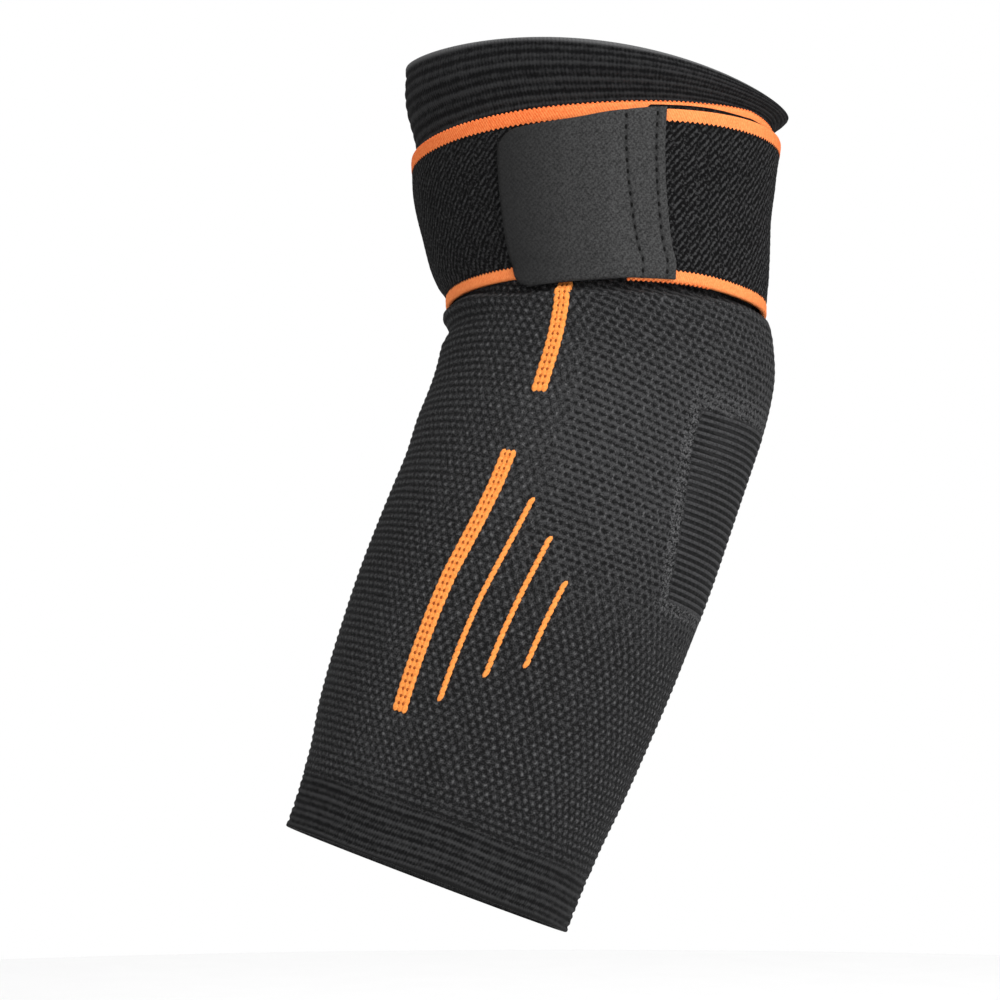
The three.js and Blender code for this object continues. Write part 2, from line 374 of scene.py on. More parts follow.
    def angle_after(self, along: Any, start: Any, length: Any) -> np.ndarray:
        """The angle that lies a length further round the row.

        Args:
            along: Places on the arm.
            start: Angles to start from.
            length: Lengths to go, negative to go back.

        Returns:
            The angles.
        """
        along, start, length = together(along, start, length)
        _, _, _, half_wide, half_deep, _ = self.row(along)
        angle = start.copy()
        left = np.abs(length)
        step = 0.5
        while np.any(left > 0):
            turn = np.radians(angle)
            walked = np.hypot(half_wide * np.sin(turn), half_deep * np.cos(turn)) * math.radians(step)
            angle = angle + np.sign(length) * step * np.clip(left / walked, 0.0, 1.0)
            left = np.maximum(left - walked, 0.0)
        return angle

    def strap_end(self, along: Any) -> np.ndarray:
        """Returns the angle of the strap's end, which lies under the tab."""
        return self.angle_after(along, self.tab_angle, self.tab_seam - self.tab_length / 2)

    @property
    def strap_start(self) -> float:
        """The angle of the strap's inner end."""
        return float(self.angle_after(self.strap_middle, self.tab_angle, -self.strap_underlap))

    @property
    def climb(self) -> Span:
        """Where the strap climbs to its outer turn.

        Returns:
            The angles at which the climb starts and ends.
        """
        end = self.strap_end(self.strap_middle)
        start = self.angle_after(self.strap_middle, end, 2 * self.layer)
        finish = self.angle_after(self.strap_middle, self.strap_start, -self.strap_lead_in) + FULL_TURN
        return float(start), float(finish)

    def climbed(self, angle: np.ndarray) -> np.ndarray:
        """Returns 0 on the strap's inner end, and 1 once it has climbed to the outer turn."""
        return ease(angle, *self.climb)

    def _counted(self, angle: np.ndarray) -> np.ndarray:
        """Returns the same angles counted from the strap's inner end."""
        return np.mod(angle - self.strap_start, FULL_TURN) + self.strap_start

    def _lead_in(self, counted: np.ndarray) -> np.ndarray:
        """Returns 0 round most of the arm, rising to 1 where the strap's inner end begins."""
        return ease(counted, self.climb[1], self.strap_start + FULL_TURN)

    def low_edge(self, angle: np.ndarray) -> np.ndarray:
        """Finds where the knit starts to swell out under the strap or the tab.

        Args:
            angle: Angles round the arm.

        Returns:
            The place on the arm at each angle.
        """
        counted = self._counted(angle)
        free = self.strap_bottom - self.strap_drift * self.climbed(counted) - self.layer_gap
        tab_free = float(self.angle_after(self.strap_middle, self.tab_angle, self.tab_length / 2))
        near, far = self.tab_shade
        past_tab = ease(counted, tab_free + near, tab_free + far) * (1 - self._lead_in(counted))
        return mix(self.lowest_edge, free, past_tab)

    def knit_lift(self, along: np.ndarray, angle: np.ndarray) -> np.ndarray:
        """The knit's surface against the worn outline.

        Args:
            along: Places on the arm.
            angle: Angles round it, with the same shape or one that broadcasts.

        Returns:
            The lift, negative under the strap and in the fold at the crease.
        """
        counted = self._counted(angle)
        layers = 2 - self.climbed(counted) + self._lead_in(counted)
        high, low = self.strap_top + self.layer_gap, self.low_edge(angle)
        above = ease(along, high, high + self.run_above)
        to_back = ease(np.cos(np.radians(angle)), *self.back_cosines)
        run = mix(self.bulge_run, self.back_run, to_back)
        below = ease(-along, -low, run - low)
        pressed = layers * self.layer * (1 - np.maximum(above, below))
        away = (along - self.crease_height) / (self.crease_span / 2)
        towards = np.maximum(0.0, -np.cos(np.radians(angle)))
        fold = self.crease_depth * np.exp(-away * away) * towards**2
        return -np.maximum(pressed, fold)


# Nodes and their sums


class Wire:
    """A socket in a node tree, on which sums are written as plain expressions."""

    def __init__(self, maker: "NodeMaker", socket: bpy.types.NodeSocket) -> None:
        """Wraps a socket.

        Args:
            maker: The maker of the tree that holds it.
            socket: The output that is read.
        """
        self.maker = maker
        self.socket = socket

    def _math(self, operation: str, *values: Any) -> "Wire":
        """Adds a Math node.

        Args:
            operation: What it works out.
            values: Wires or numbers for its inputs.

        Returns:
            Its result.
        """
        node = self.maker.node("ShaderNodeMath", {"operation": operation})
        for socket, value in zip(node.inputs, values):
            self.maker.feed(socket, value)
        return Wire(self.maker, node.outputs[0])

    def __add__(self, other: Any) -> "Wire":
        """Returns the sum."""
        return self._math("ADD", self, other)

    __radd__ = __add__

    def __mul__(self, other: Any) -> "Wire":
        """Returns the product."""
        return self._math("MULTIPLY", self, other)

    __rmul__ = __mul__

    def __sub__(self, other: Any) -> "Wire":
        """Returns this less the other."""
        return self._math("SUBTRACT", self, other)

    def __rsub__(self, other: Any) -> "Wire":
        """Returns the other less this."""
        return self._math("SUBTRACT", other, self)

    def __truediv__(self, other: Any) -> "Wire":
        """Returns the quotient."""
        return self._math("DIVIDE", self, other)

    def wave(self) -> "Wire":
        """Returns the cosine of this many whole turns."""
        return self._math("COSINE", self * TAU)

    def fold(self) -> "Wire":
        """Returns a saw that goes from 0 to 1 and back over each unit."""
        return self._math("PINGPONG", self, 0.5) * 2

    def largest(self, other: Any) -> "Wire":
        """Returns the larger of this and the other."""
        return self._math("MAXIMUM", self, other)

    def eased(self, low: float, high: float) -> "Wire":
        """Returns a smooth step between two values."""
        ends = {"Value": self, "From Min": low, "From Max": high}
        return self.maker.wire("ShaderNodeMapRange", {"interpolation_type": "SMOOTHSTEP"}, ends)


class NodeMaker:
    """Adds nodes to a tree and feeds their sockets."""

    colour_inputs: tuple[int, int, int] = (0, 6, 7)
    colour_result: int = 2

    def __init__(self, tree: bpy.types.NodeTree) -> None:
        """Starts with the tree that gets the nodes."""
        self.tree = tree

    def feed(self, socket: bpy.types.NodeSocket, value: Any) -> None:
        """Links a socket, or sets its own value.

        Args:
            socket: The input that is fed.
            value: A wire, an output, a number, a colour or a name.
        """
        if isinstance(value, Wire):
            value = value.socket
        if isinstance(value, bpy.types.NodeSocket):
            self.tree.links.new(value, socket)
        elif socket.type == "RGBA":
            socket.default_value = (*value[:3], 1.0)
        else:
            socket.default_value = value

    def node(
        self, kind: str, settings: dict[str, Any] | None = None, sockets: dict[str, Any] | None = None
    ) -> bpy.types.Node:
        """Adds one node.

        Args:
            kind: The node's type.
            settings: Its properties, which are set first.
            sockets: Values or links for its inputs, by name.

        Returns:
            The node.
        """
        made = self.tree.nodes.new(kind)
        for name, value in (settings or {}).items():
            setattr(made, name, value)
        for name, value in (sockets or {}).items():
            self.feed(made.inputs[name], value)
        return made

    def wire(
        self,
        kind: str,
        settings: dict[str, Any] | None = None,
        sockets: dict[str, Any] | None = None,
        output: str | int = 0,
    ) -> Wire:
        """Adds one node as node() does, and returns one of its outputs as a wire."""
        return Wire(self, self.node(kind, settings, sockets).outputs[output])

    def mixed(self, share: Any, first: Any, second: Any) -> bpy.types.NodeSocket:
        """Adds a Mix node for colours.

        Args:
            share: How much of the second colour it takes.
            first: The colour at 0.
            second: The colour at 1.

        Returns:
            The colour between them.
        """
        node = self.node("ShaderNodeMix", {"data_type": "RGBA"})
        for index, value in zip(self.colour_inputs, (share, first, second)):
            self.feed(node.inputs[index], value)
        return node.outputs[self.colour_result]


# Finishes


@dataclass(frozen=True)
class Finish:
    """A cloth or yarn finish. Colours are linear, and bump heights are in millimetres."""

    name: str
    dark: Colour
    light: Colour
    roughness: float = 0.9
    fuzz: float = 0.06
    fuzz_scale: float = 1800.0
    fuzz_detail: float = 2.0
    specular: float = 0.12
    noise_roughness: float = 0.6
    noise_range: Span = (0.25, 0.75)

    def material(self) -> bpy.types.Material:
        """Builds the finish's node tree.

        Returns:
            A new material.
        """
        made = bpy.data.materials.new(self.name)
        made.use_nodes = True
        made.node_tree.nodes.clear()
        maker = NodeMaker(made.node_tree)
        colour, height = self.surface(maker)
        bump = maker.wire("ShaderNodeBump", {}, {"Strength": 1.0, "Distance": MM, "Height": height})
        shader = maker.wire(
            "ShaderNodeBsdfPrincipled",
            {},
            {
                "Base Color": colour,
                "Roughness": self.roughness,
                "Specular IOR Level": self.specular,
                "Normal": bump,
            },
        )
        out = maker.node("ShaderNodeOutputMaterial", {}, {"Surface": shader})
        out.is_active_output = True
        return made

    def surface(self, maker: NodeMaker) -> tuple[Any, Any]:
        """The varying part of the finish.

        Args:
            maker: The maker of the material's tree.

        Returns:
            The colour and the bump height in millimetres.
        """
        grain = self.noise(maker, self.fuzz_scale, self.fuzz_detail)
        return maker.mixed(grain, self.dark, self.light), grain * self.fuzz

    def noise(self, maker: NodeMaker, scale: float, detail: float) -> Wire:
        """Adds a noise in the piece's own space.

        Args:
            maker: The maker of the material's tree.
            scale: How fine it is.
            detail: How many finer layers it has.

        Returns:
            The noise, from 0 to 1.
        """
        space = maker.wire("ShaderNodeTexCoord", {}, {}, "Object")
        sockets = {"Vector": space, "Scale": scale, "Detail": detail, "Roughness": self.noise_roughness}
        return maker.wire("ShaderNodeTexNoise", {}, sockets).eased(*self.noise_range)


@dataclass(frozen=True)
class ClothFinish(Finish):
    """A finish with a pattern on the piece's UV map, under the noise of its fibres and its yarn."""

    yarn_scale: float = 1000.0
    yarn_detail: float = 1.0
    grain_weight: float = 0.7
    yarn_weight: float = 0.7
    lit_range: Span = (-1.0, 1.0)

    def noises(self, maker: NodeMaker) -> tuple[Wire, Wire]:
        """Returns the fine noise of the fibres and the coarser one of the yarn."""
        grain = self.noise(maker, self.fuzz_scale, self.fuzz_detail)
        return grain, self.noise(maker, self.yarn_scale, self.yarn_detail)

    def speckled(self, grain: Wire, yarn: Wire) -> Wire:
        """Returns both noises as one that goes up and down from 0."""
        return (grain - 0.5) * self.grain_weight + (yarn - 0.5) * self.yarn_weight

    @staticmethod
    def places(maker: NodeMaker) -> tuple[Wire, Wire]:
        """Reads the piece's own UV map.

        Args:
            maker: The maker of the material's tree.

        Returns:
            Its two numbers.
        """
        space = maker.wire("ShaderNodeTexCoord", {}, {}, "UV")
        split = maker.node("ShaderNodeSeparateXYZ", {}, {"Vector": space})
        return Wire(maker, split.outputs[0]), Wire(maker, split.outputs[1])


@dataclass(frozen=True)
class KnitFinish(ClothFinish):
    """Body knit: staggered stitches and rows with pale specks, in the lattice of the UV map.

    The attribute cloth gives the shares of panel, border, flank and paler stitches, and the attribute
    net the share of knit that looks like a net of holes. The paler stitches are partly painted light and
    shade, which lightens or darkens the knit by region. A set of three is for flank, pale and net.
    """

    yarn_scale: float = 1150.0
    grain_weight: float = 1.0
    yarn_weight: float = 0.75
    lit_range: Span = (-1.0, 0.9)
    stitch: float = 0.62
    stitch_less: Size = (0.34, 0.12, 0.14)
    row: float = 0.24
    row_more: float = 0.3
    net_row: float = 0.36
    net_row_more: Span = (0.2, 0.2)
    pale_lift: float = 0.38
    panel_shade: float = 0.74
    flank_shade: float = 0.2
    bump: float = 0.1
    speck: Colour = (0.17, 0.17, 0.173)
    speck_stitch: float = 0.75
    speck_row: float = 0.25
    speck_row_less: float = 0.55
    speck_range: Span = (0.42, 0.97)
    patch_range: Span = (0.45, 0.82)
    flank_specks: float = 0.8
    speck_strength: float = 0.46
    pale_specks: float = 0.24
    fleck_range: Span = (0.45, 0.85)
    fleck_strength: float = 0.42

    def surface(self, maker: NodeMaker) -> tuple[Any, Any]:
        """The knit's pattern.

        Args:
            maker: The maker of the material's tree.

        Returns:
            The colour and the bump height in millimetres.
        """
        across, down = self.places(maker)
        grain, yarn = self.noises(maker)
        cloth = maker.node("ShaderNodeAttribute", {"attribute_name": "cloth"})
        masks = maker.node("ShaderNodeSeparateColor", {}, {"Color": cloth.outputs["Color"]})
        panel, border, flank = (Wire(maker, output) for output in masks.outputs)
        pale = Wire(maker, cloth.outputs["Alpha"])
        net = maker.wire("ShaderNodeAttribute", {"attribute_name": "net"}, {}, "Fac")
        stagger = across.wave() * down.wave()
        rows = (down * 2).wave()
        net_rows = flank * self.net_row_more[0] + pale * self.net_row_more[1] + self.net_row
        row_share = (1 - net) * (flank * self.row_more + self.row) - net * net_rows
        on_flank, in_pale, in_net = self.stitch_less
        stitch_share = self.stitch - flank * on_flank - pale * in_pale - net * in_net
        rise = stagger * stitch_share + rows * row_share
        # Less pale stitches are darker: partly painted light and shade.
        lit = rise + self.speckled(grain, yarn) + (pale - 1) * self.pale_lift
        shade = lit.eased(*self.lit_range) * (1 - panel * self.panel_shade) * (1 - flank * self.flank_shade)
        on_stitch = stagger * (net * (1 - self.speck_stitch) + self.speck_stitch)
        on_row = rows * (self.speck_row - net * self.speck_row_less)
        patches = yarn * 0.5 + grain * 0.5
        specks = (on_stitch + on_row).eased(*self.speck_range) * patches.eased(*self.patch_range)
        specks = specks * (1 - panel) * (1 - flank * self.flank_specks)
        specks = specks * (pale * self.pale_specks + self.speck_strength)
        flecks = border * patches.eased(*self.fleck_range) * self.fleck_strength
        colour = maker.mixed(shade, self.dark, self.light)
        speckled = maker.mixed(specks.largest(flecks), colour, self.speck)
        return speckled, rise * self.bump + grain * self.fuzz


@dataclass(frozen=True)
class RibbedFinish(ClothFinish):
    """Ribbed knit: fine staggered stitches across ribs that are in the mesh."""

    yarn_scale: float = 600.0
    lit_range: Span = (-0.95, 1.25)
    slant: float = 0.5
    stitch_light: float = 0.24
    rib_shade: float = 0.6
    heavy: float = 2.4
    heavy_phase: float = 0.2
    heavy_shade: float = 0.34
    bump: float = 0.05
    # The rim colour runs along the free edge. On the upper cuff it is a painted highlight along the top fold.
    rim: Colour = (0.03, 0.03, 0.03)
    rim_range: Span = (0.8, 0.2)

    def surface(self, maker: NodeMaker) -> tuple[Any, Any]:
        """The stitches, and the rim colour along the free edge: a painted highlight on the upper cuff, a
        darker band on the lower.

        Args:
            maker: The maker of the material's tree.

        Returns:
            The colour and the bump height in millimetres.
        """
        across, down = self.places(maker)
        grain, yarn = self.noises(maker)
        stitch = (across + down * self.slant).wave()
        heavy = (down / self.heavy + self.heavy_phase).wave()
        lit = self.speckled(grain, yarn) - down.wave() * self.rib_shade
        lit = (lit + stitch * self.stitch_light - heavy * self.heavy_shade).eased(*self.lit_range)
        colour = maker.mixed(lit, self.dark, self.light)
        rimmed = maker.mixed(down.eased(*self.rim_range), colour, self.rim)
        return rimmed, stitch * self.bump + grain * self.fuzz


@dataclass(frozen=True)
class ElasticFinish(ClothFinish):
    """Woven elastic with coloured edges. The UV map is in millimetres from an end and from the top."""

    yarn_scale: float = 1400.0
    yarn_weight: float = 1.4
    grain_weight: float = 0.9
    lit_range: Span = (-0.4, 1.3)
    weave: Size = (0.55, 0.3, 0.15)
    step: float = 3.85
    course: float = 2.45
    steady: Span = (120.0, 200.0)
    clear: Span = (0.45, 0.55)
    edge_dark: Colour = (0.78, 0.13, 0.028)
    edge_light: Colour = (1.0, 0.34, 0.11)
    width: float = 51.0
    upper_edge: float = 3.9
    outer_edge: float = 3.3
    outer_reach: Span = (250.0, 300.0)
    # On the inner end, where it shows above the outer turn, the upper orange edge is narrowed so that black
    # weave shows next to the outer turn's edge: painted shadow.
    under_edges: Span = (0.95, 2.1)
    under_point: Span = (20.0, 2.0)
    under_point_depth: float = 1.8
    under_taper: Span = (46.0, 24.0)
    under_reach: Span = (60.0, 57.0)
    lower_edge: float = 3.1
    edge_range: Span = (0.08, -0.08)
    edge_shadow: Span = (0.75, 0.3)
    edge_shade: float = 0.8
    tooth_pitch: float = 1.45
    tooth_height: float = 0.6
    hatch: float = 0.25
    hatch_slant: float = 0.5
    tint_grain: float = 0.5
    tint_yarn: float = 0.4
    tint_range: Span = (-0.6, 0.6)
    tint_shares: Span = (0.6, 0.4)
    sunlit: tuple[Span, Span] = ((90.0, 60.0), (290.0, 330.0))
    sunlit_below: Span = (40.0, 47.0)
    sunlight_below: float = 0.7
    bump: float = 0.12

    def woven(self, courses: Any, steps: Any, cosine: Callable[[Any], Any]) -> Any:
        """The height of the weave, on numbers or on wires.

        Args:
            courses: Places across the strap, counted in courses.
            steps: Places along it, counted in steps.
            cosine: Gives the cosine of whole turns.

        Returns:
            The height, from -1 to 1.
        """
        steep, flat, crossed = self.weave
        slots = cosine(courses - steps * 2) * steep
        return slots + cosine(courses - steps) * flat + cosine(courses + steps) * crossed

    def surface(self, maker: NodeMaker) -> tuple[Any, Any]:
        """The weave and the edges.

        Args:
            maker: The maker of the material's tree.

        Returns:
            The colour and the bump height in millimetres.
        """
        length, across = self.places(maker)
        grain, yarn = self.noises(maker)
        weave = self.woven(across / self.course, length / self.step, Wire.wave)
        clear = length.eased(*self.steady) * self.clear[0] + self.clear[1]
        lit = (weave + (yarn - 0.5) * self.yarn_weight) * clear + (grain - 0.5) * self.grain_weight
        above, below = self._edges(length, across)
        edge = above.eased(*self.edge_range).largest(below.eased(*self.edge_range))
        shaded = above.eased(*self.edge_shadow).largest(below.eased(*self.edge_shadow))
        lit = lit.eased(*self.lit_range) * (1 - shaded * self.edge_shade)
        hatch = ((length + across * self.hatch_slant) / (self.tooth_pitch / 2)).wave() * self.hatch
        first, last = self.sunlit
        sunlit = length.eased(*first).largest(length.eased(*last))
        sunlit = sunlit.largest(across.eased(*self.sunlit_below) * self.sunlight_below)
        tint = hatch + (grain - 0.5) * self.tint_grain + (yarn - 0.5) * self.tint_yarn
        tint = tint.eased(*self.tint_range) * self.tint_shares[0] + sunlit * self.tint_shares[1]
        black = maker.mixed(lit, self.dark, self.light)
        orange = maker.mixed(tint, self.edge_dark, self.edge_light)
        height = weave * self.bump * (1 - edge) + hatch * self.bump * edge + grain * self.fuzz
        return maker.mixed(edge, black, orange), height

    def _edges(self, length: Wire, across: Wire) -> tuple[Wire, Wire]:
        """Finds how far a point lies inside the lines where the coloured edges end.

        Args:
            length: Places from the strap's inner end.
            across: Places from its top.

        Returns:
            The distances from the upper edge's line and from the lower one's, negative on the colour.
        """
        teeth = (length / self.tooth_pitch).fold() * self.tooth_height
        # Painted shadow: on the inner end the upper orange edge narrows, so black shows next to the outer
        # turn's edge.
        under = length.eased(*self.under_reach)
        narrowed = length.eased(*self.outer_reach) * (self.upper_edge - self.outer_edge)
        low, high = self.under_edges
        point = length.eased(*self.under_point) * self.under_point_depth
        under_edge = length.eased(*self.under_taper) * (high - low) + low - point
        upper = self.upper_edge - under * (self.upper_edge - under_edge) - narrowed
        above = across - teeth * (1 - under) - upper
        return above, (self.width - self.lower_edge) - across - teeth


@dataclass(frozen=True)
class TapeFinish(ClothFinish):
    """Brushed tape: a short grey pile over a fine twill, with painted shade that darkens it towards its free
    end.
    """

    grain_weight: float = 0.5
    yarn_weight: float = 0.3
    lit_range: Span = (-0.15, 1.15)
    level: float = 0.1
    twill_length: float = 1.95
    twill_width: float = 1.7
    twill_cross: float = 0.6
    twill_shares: Span = (0.65, 0.35)
    twill_light: float = 0.12
    bump: float = 0.05
    width: float = 48.2
    # Painted shade: how much the tape is darkened towards its free end, and over which distances from the
    # sewn edge.
    lean: float = 0.9
    free_end_shade_reach: Span = (12.8, 56.4)
    seams: tuple[Span, ...] = ((2.8, 2.9), (12.1, 10.2))
    seam_range: Span = (0.5, 0.05)
    seam_shade: float = 0.45

    def surface(self, maker: NodeMaker) -> tuple[Any, Any]:
        """The pile, with a dark line along each seam.

        Args:
            maker: The maker of the material's tree.

        Returns:
            The colour and the bump height in millimetres.
        """
        length, across = self.places(maker)
        grain, pile = self.noises(maker)
        twill = (across / self.twill_width - length / self.twill_length).wave()
        cross = (across / self.twill_width + length / (self.twill_length * self.twill_cross)).wave()
        weave = twill * self.twill_shares[0] + cross * self.twill_shares[1]
        lit = weave * self.twill_light + grain * self.grain_weight + pile * self.yarn_weight + self.level
        # Painted shade, darker towards the free end.
        lit = lit.eased(*self.lit_range) * (1 - length.eased(*self.free_end_shade_reach) * self.lean)
        for top, bottom in self.seams:
            off = length - (across / self.width + 0.5) * (bottom - top) - top
            lit = lit * (1 - (off * off).eased(*self.seam_range) * self.seam_shade)
        return maker.mixed(lit, self.dark, self.light), grain * self.fuzz + weave * self.bump


KNIT = KnitFinish("knit_cloth", (0.007, 0.007, 0.0073), (0.0545, 0.0545, 0.056), 0.95, 0.06, 2300.0)
UPPER_CUFF = RibbedFinish(
    "upper_cuff_cloth", (0.004, 0.004, 0.0044), (0.029, 0.029, 0.03), 0.95, 0.06, 1500.0,
    # Painted highlight along the top fold.
    rim=(0.115, 0.115, 0.117),
)
LOWER_CUFF = RibbedFinish(
    "lower_cuff_cloth", (0.005, 0.005, 0.0053), (0.036, 0.036, 0.037), 0.95, 0.06, 1500.0,
    rim=(0.009, 0.009, 0.0092),
)
RIBS = Finish("elbow_rib_yarn", (0.026, 0.026, 0.027), (0.062, 0.062, 0.064), 0.95, 0.06, 1400.0)
ELASTIC = ElasticFinish("woven_elastic", (0.0015, 0.0015, 0.0017), (0.043, 0.043, 0.044), 0.9, 0.05, 1600.0)
TAPE = TapeFinish("brushed_tape", (0.0155, 0.0155, 0.0157), (0.072, 0.072, 0.0724), 1.0, 0.06, 2000.0)
STRIPE = Finish("orange_yarn", (0.86, 0.25, 0.045), (1.0, 0.38, 0.095), 0.85, 0.05)
# The ground yarn's darker orange is painted shade in the holes between the wide stripes' columns.
STRIPE_GROUND_SHADED = Finish("orange_ground_yarn_shaded", (0.27, 0.06, 0.013), (0.38, 0.09, 0.02), 0.9, 0.03)
PICOT = Finish("orange_edge_yarn", (0.8, 0.14, 0.032), (0.98, 0.26, 0.078), 0.85)
THREAD = Finish("black_thread", (0.003, 0.003, 0.003), (0.008, 0.008, 0.008), 0.9, 0.03, 2200.0)
PAPER = Finish("studio_paper", (0.88, 0.88, 0.88), (0.89, 0.89, 0.89), 0.9, 0.0, 40.0)


# Meshes, paths and Geometry Nodes


@dataclass
class ClothWall:
    """A closed cloth wall between a fine outer grid of points and a coarse inner one.

    A grid's rows run from the upper end to the lower, and its columns by rising angle.
    """

    outer: np.ndarray
    inner: np.ndarray
    outer_uv: np.ndarray
    inner_uv: np.ndarray
    goes_round: bool

    def _grid_faces(self, rows: int, columns: int, first: int, outward: bool) -> list[tuple[int, ...]]:
        """Returns the quads of one grid.

        Args:
            rows: How many rows it has.
            columns: How many columns it has.
            first: The index of its first point.
            outward: Whether it faces away from the arm.

        Returns:
            The quads as point indices.
        """
        i, j = np.meshgrid(
            np.arange(rows - 1), np.arange(columns if self.goes_round else columns - 1), indexing="ij"
        )
        onward = (j + 1) % columns
        quads = np.stack(
            [i * columns + j, i * columns + onward, (i + 1) * columns + onward, (i + 1) * columns + j], -1
        )
        quads = quads.reshape(-1, 4) + first
        return (quads if outward else quads[:, ::-1]).tolist()

    @staticmethod
    def _bridge(outer: Sequence[int], inner: Sequence[int]) -> list[tuple[int, ...]]:
        """Joins two chains of points that start and end side by side.

        Args:
            outer: One chain's point indices.
            inner: The other's.

        Returns:
            The triangles between them.
        """
        faces = []
        i = j = 0
        last_i, last_j = len(outer) - 1, len(inner) - 1
        while i < last_i or j < last_j:
            if j == last_j or (i < last_i and (i + 1) * last_j <= (j + 1) * last_i):
                faces.append((outer[i], inner[j], outer[i + 1]))
                i += 1
            else:
                faces.append((outer[i], inner[j], inner[j + 1]))
                j += 1
        return faces

    def _rim_faces(self) -> list[tuple[int, ...]]:
        """Closes the wall at its rims.

        Returns:
            The faces between its outer and its inner grid.
        """
        rows, columns = self.outer.shape[:2]
        in_rows, in_columns = self.inner.shape[:2]
        outer = np.arange(rows * columns).reshape(rows, columns)
        inner = np.arange(in_rows * in_columns).reshape(in_rows, in_columns) + rows * columns
        if self.goes_round:
            outer = np.hstack([outer, outer[:, :1]])
            inner = np.hstack([inner, inner[:, :1]])
        faces = self._bridge(outer[0].tolist(), inner[0].tolist())
        faces += [f[::-1] for f in self._bridge(outer[-1].tolist(), inner[-1].tolist())]
        if not self.goes_round:
            faces += [f[::-1] for f in self._bridge(outer[:, 0].tolist(), inner[:, 0].tolist())]
            faces += self._bridge(outer[:, -1].tolist(), inner[:, -1].tolist())
        return faces

    def object(self, name: str, finish: Finish) -> bpy.types.Object:
        """Makes the wall's mesh object.

        Args:
            name: The piece's name.
            finish: Its finish.

        Returns:
            The object, with smooth faces and a UV map.
        """
        rows, columns = self.outer.shape[:2]
        in_rows, in_columns = self.inner.shape[:2]
        points = np.concatenate([self.outer.reshape(-1, 3), self.inner.reshape(-1, 3)])
        outside = self._grid_faces(rows, columns, 0, True)
        inside = self._grid_faces(in_rows, in_columns, rows * columns, False)
        faces = outside + inside + self._rim_faces()
        mesh = bpy.data.meshes.new(name)
        mesh.from_pydata(points.tolist(), [], faces)
        uv = mesh.uv_layers.new(name="UVMap")
        corners = np.empty(len(mesh.loops), dtype=np.int32)
        mesh.loops.foreach_get("vertex_index", corners)
        flat = np.concatenate([self.outer_uv.reshape(-1, 2), self.inner_uv.reshape(-1, 2)])
        values = flat[corners]
        if self.goes_round:
            self._unwrap(values, faces)
        uv.data.foreach_set("uv", values.ravel().astype(np.float32))
        mesh.shade_smooth()
        mesh.materials.append(finish.material())
        return placed(name, mesh)

    def _unwrap(self, values: np.ndarray, faces: Sequence[Sequence[int]]) -> None:
        """Carries the UV map on past the last column, so that no face spans the whole pattern.

        Args:
            values: The UV values of the faces' corners, which are changed.
            faces: The wall's faces.
        """
        turn = self.outer_uv[0, -1, 0] - self.outer_uv[0, 0, 0]
        turn += self.outer_uv[0, 1, 0] - self.outer_uv[0, 0, 0]
        sizes = np.array([len(f) for f in faces])
        starts = np.concatenate([[0], np.cumsum(sizes)[:-1]])
        highest = np.maximum.reduceat(values[:, 0], starts)
        behind = values[:, 0] < np.repeat(highest, sizes) - turn / 2
        values[behind, 0] += turn


def placed(name: str, data: bpy.types.ID) -> bpy.types.Object:
    """Puts an object in the scene.

    Args:
        name: The object's name.
        data: The mesh, light or camera that it holds.

    Returns:
        The object, at the origin.
    """
    made = bpy.data.objects.new(name, data)
    bpy.context.scene.collection.objects.link(made)
    return made


def plain_mesh(
    name: str, parts: Sequence[bpy.types.Object], finish: bpy.types.Material
) -> bpy.types.Object:
    """Turns the evaluated results of some objects into one plain mesh object.

    Args:
        name: The new piece's name.
        parts: Objects with Geometry Nodes on them, which are removed.
        finish: The material of all of them.

    Returns:
        The new object, with no modifiers.
    """
    graph = bpy.context.evaluated_depsgraph_get()
    points: list[np.ndarray] = []
    faces: list[list[int]] = []
    count = 0
    for part in parts:
        made = bpy.data.meshes.new_from_object(part.evaluated_get(graph))
        coordinates = np.empty(len(made.vertices) * 3)
        made.vertices.foreach_get("co", coordinates)
        points.append(coordinates.reshape(-1, 3))
        faces += [[count + i for i in polygon.vertices] for polygon in made.polygons]
        count += len(made.vertices)
        bpy.data.meshes.remove(made)
        bpy.data.objects.remove(part)
    mesh = bpy.data.meshes.new(name)
    mesh.from_pydata(np.concatenate(points).tolist(), [], faces)
    mesh.shade_smooth()
    mesh.materials.append(finish)
    return placed(name, mesh)


@dataclass(frozen=True)
class YarnPath:
    """A line on the brace that yarn follows, with the outward direction at each point."""

    points: np.ndarray
    facing: np.ndarray

    @classmethod
    def on(cls, form: WornForm, along: Any, angle: Any, lift: Any) -> "YarnPath":
        """Returns the path through some places and angles of the worn form, raised by a lift."""
        return cls(form.point(along, angle, lift), form.facing(along, angle))

    def object(self, name: str) -> bpy.types.Object:
        """Makes the path's mesh object.

        Args:
            name: The object's name.

        Returns:
            An object of edges, with the attribute facing.
        """
        mesh = bpy.data.meshes.new(name)
        edges = [(i, i + 1) for i in range(len(self.points) - 1)]
        mesh.from_pydata(self.points.tolist(), edges, [])
        attribute = mesh.attributes.new("facing", "FLOAT_VECTOR", "POINT")
        attribute.data.foreach_set("vector", self.facing.ravel().astype(np.float32))
        return placed(name, mesh)


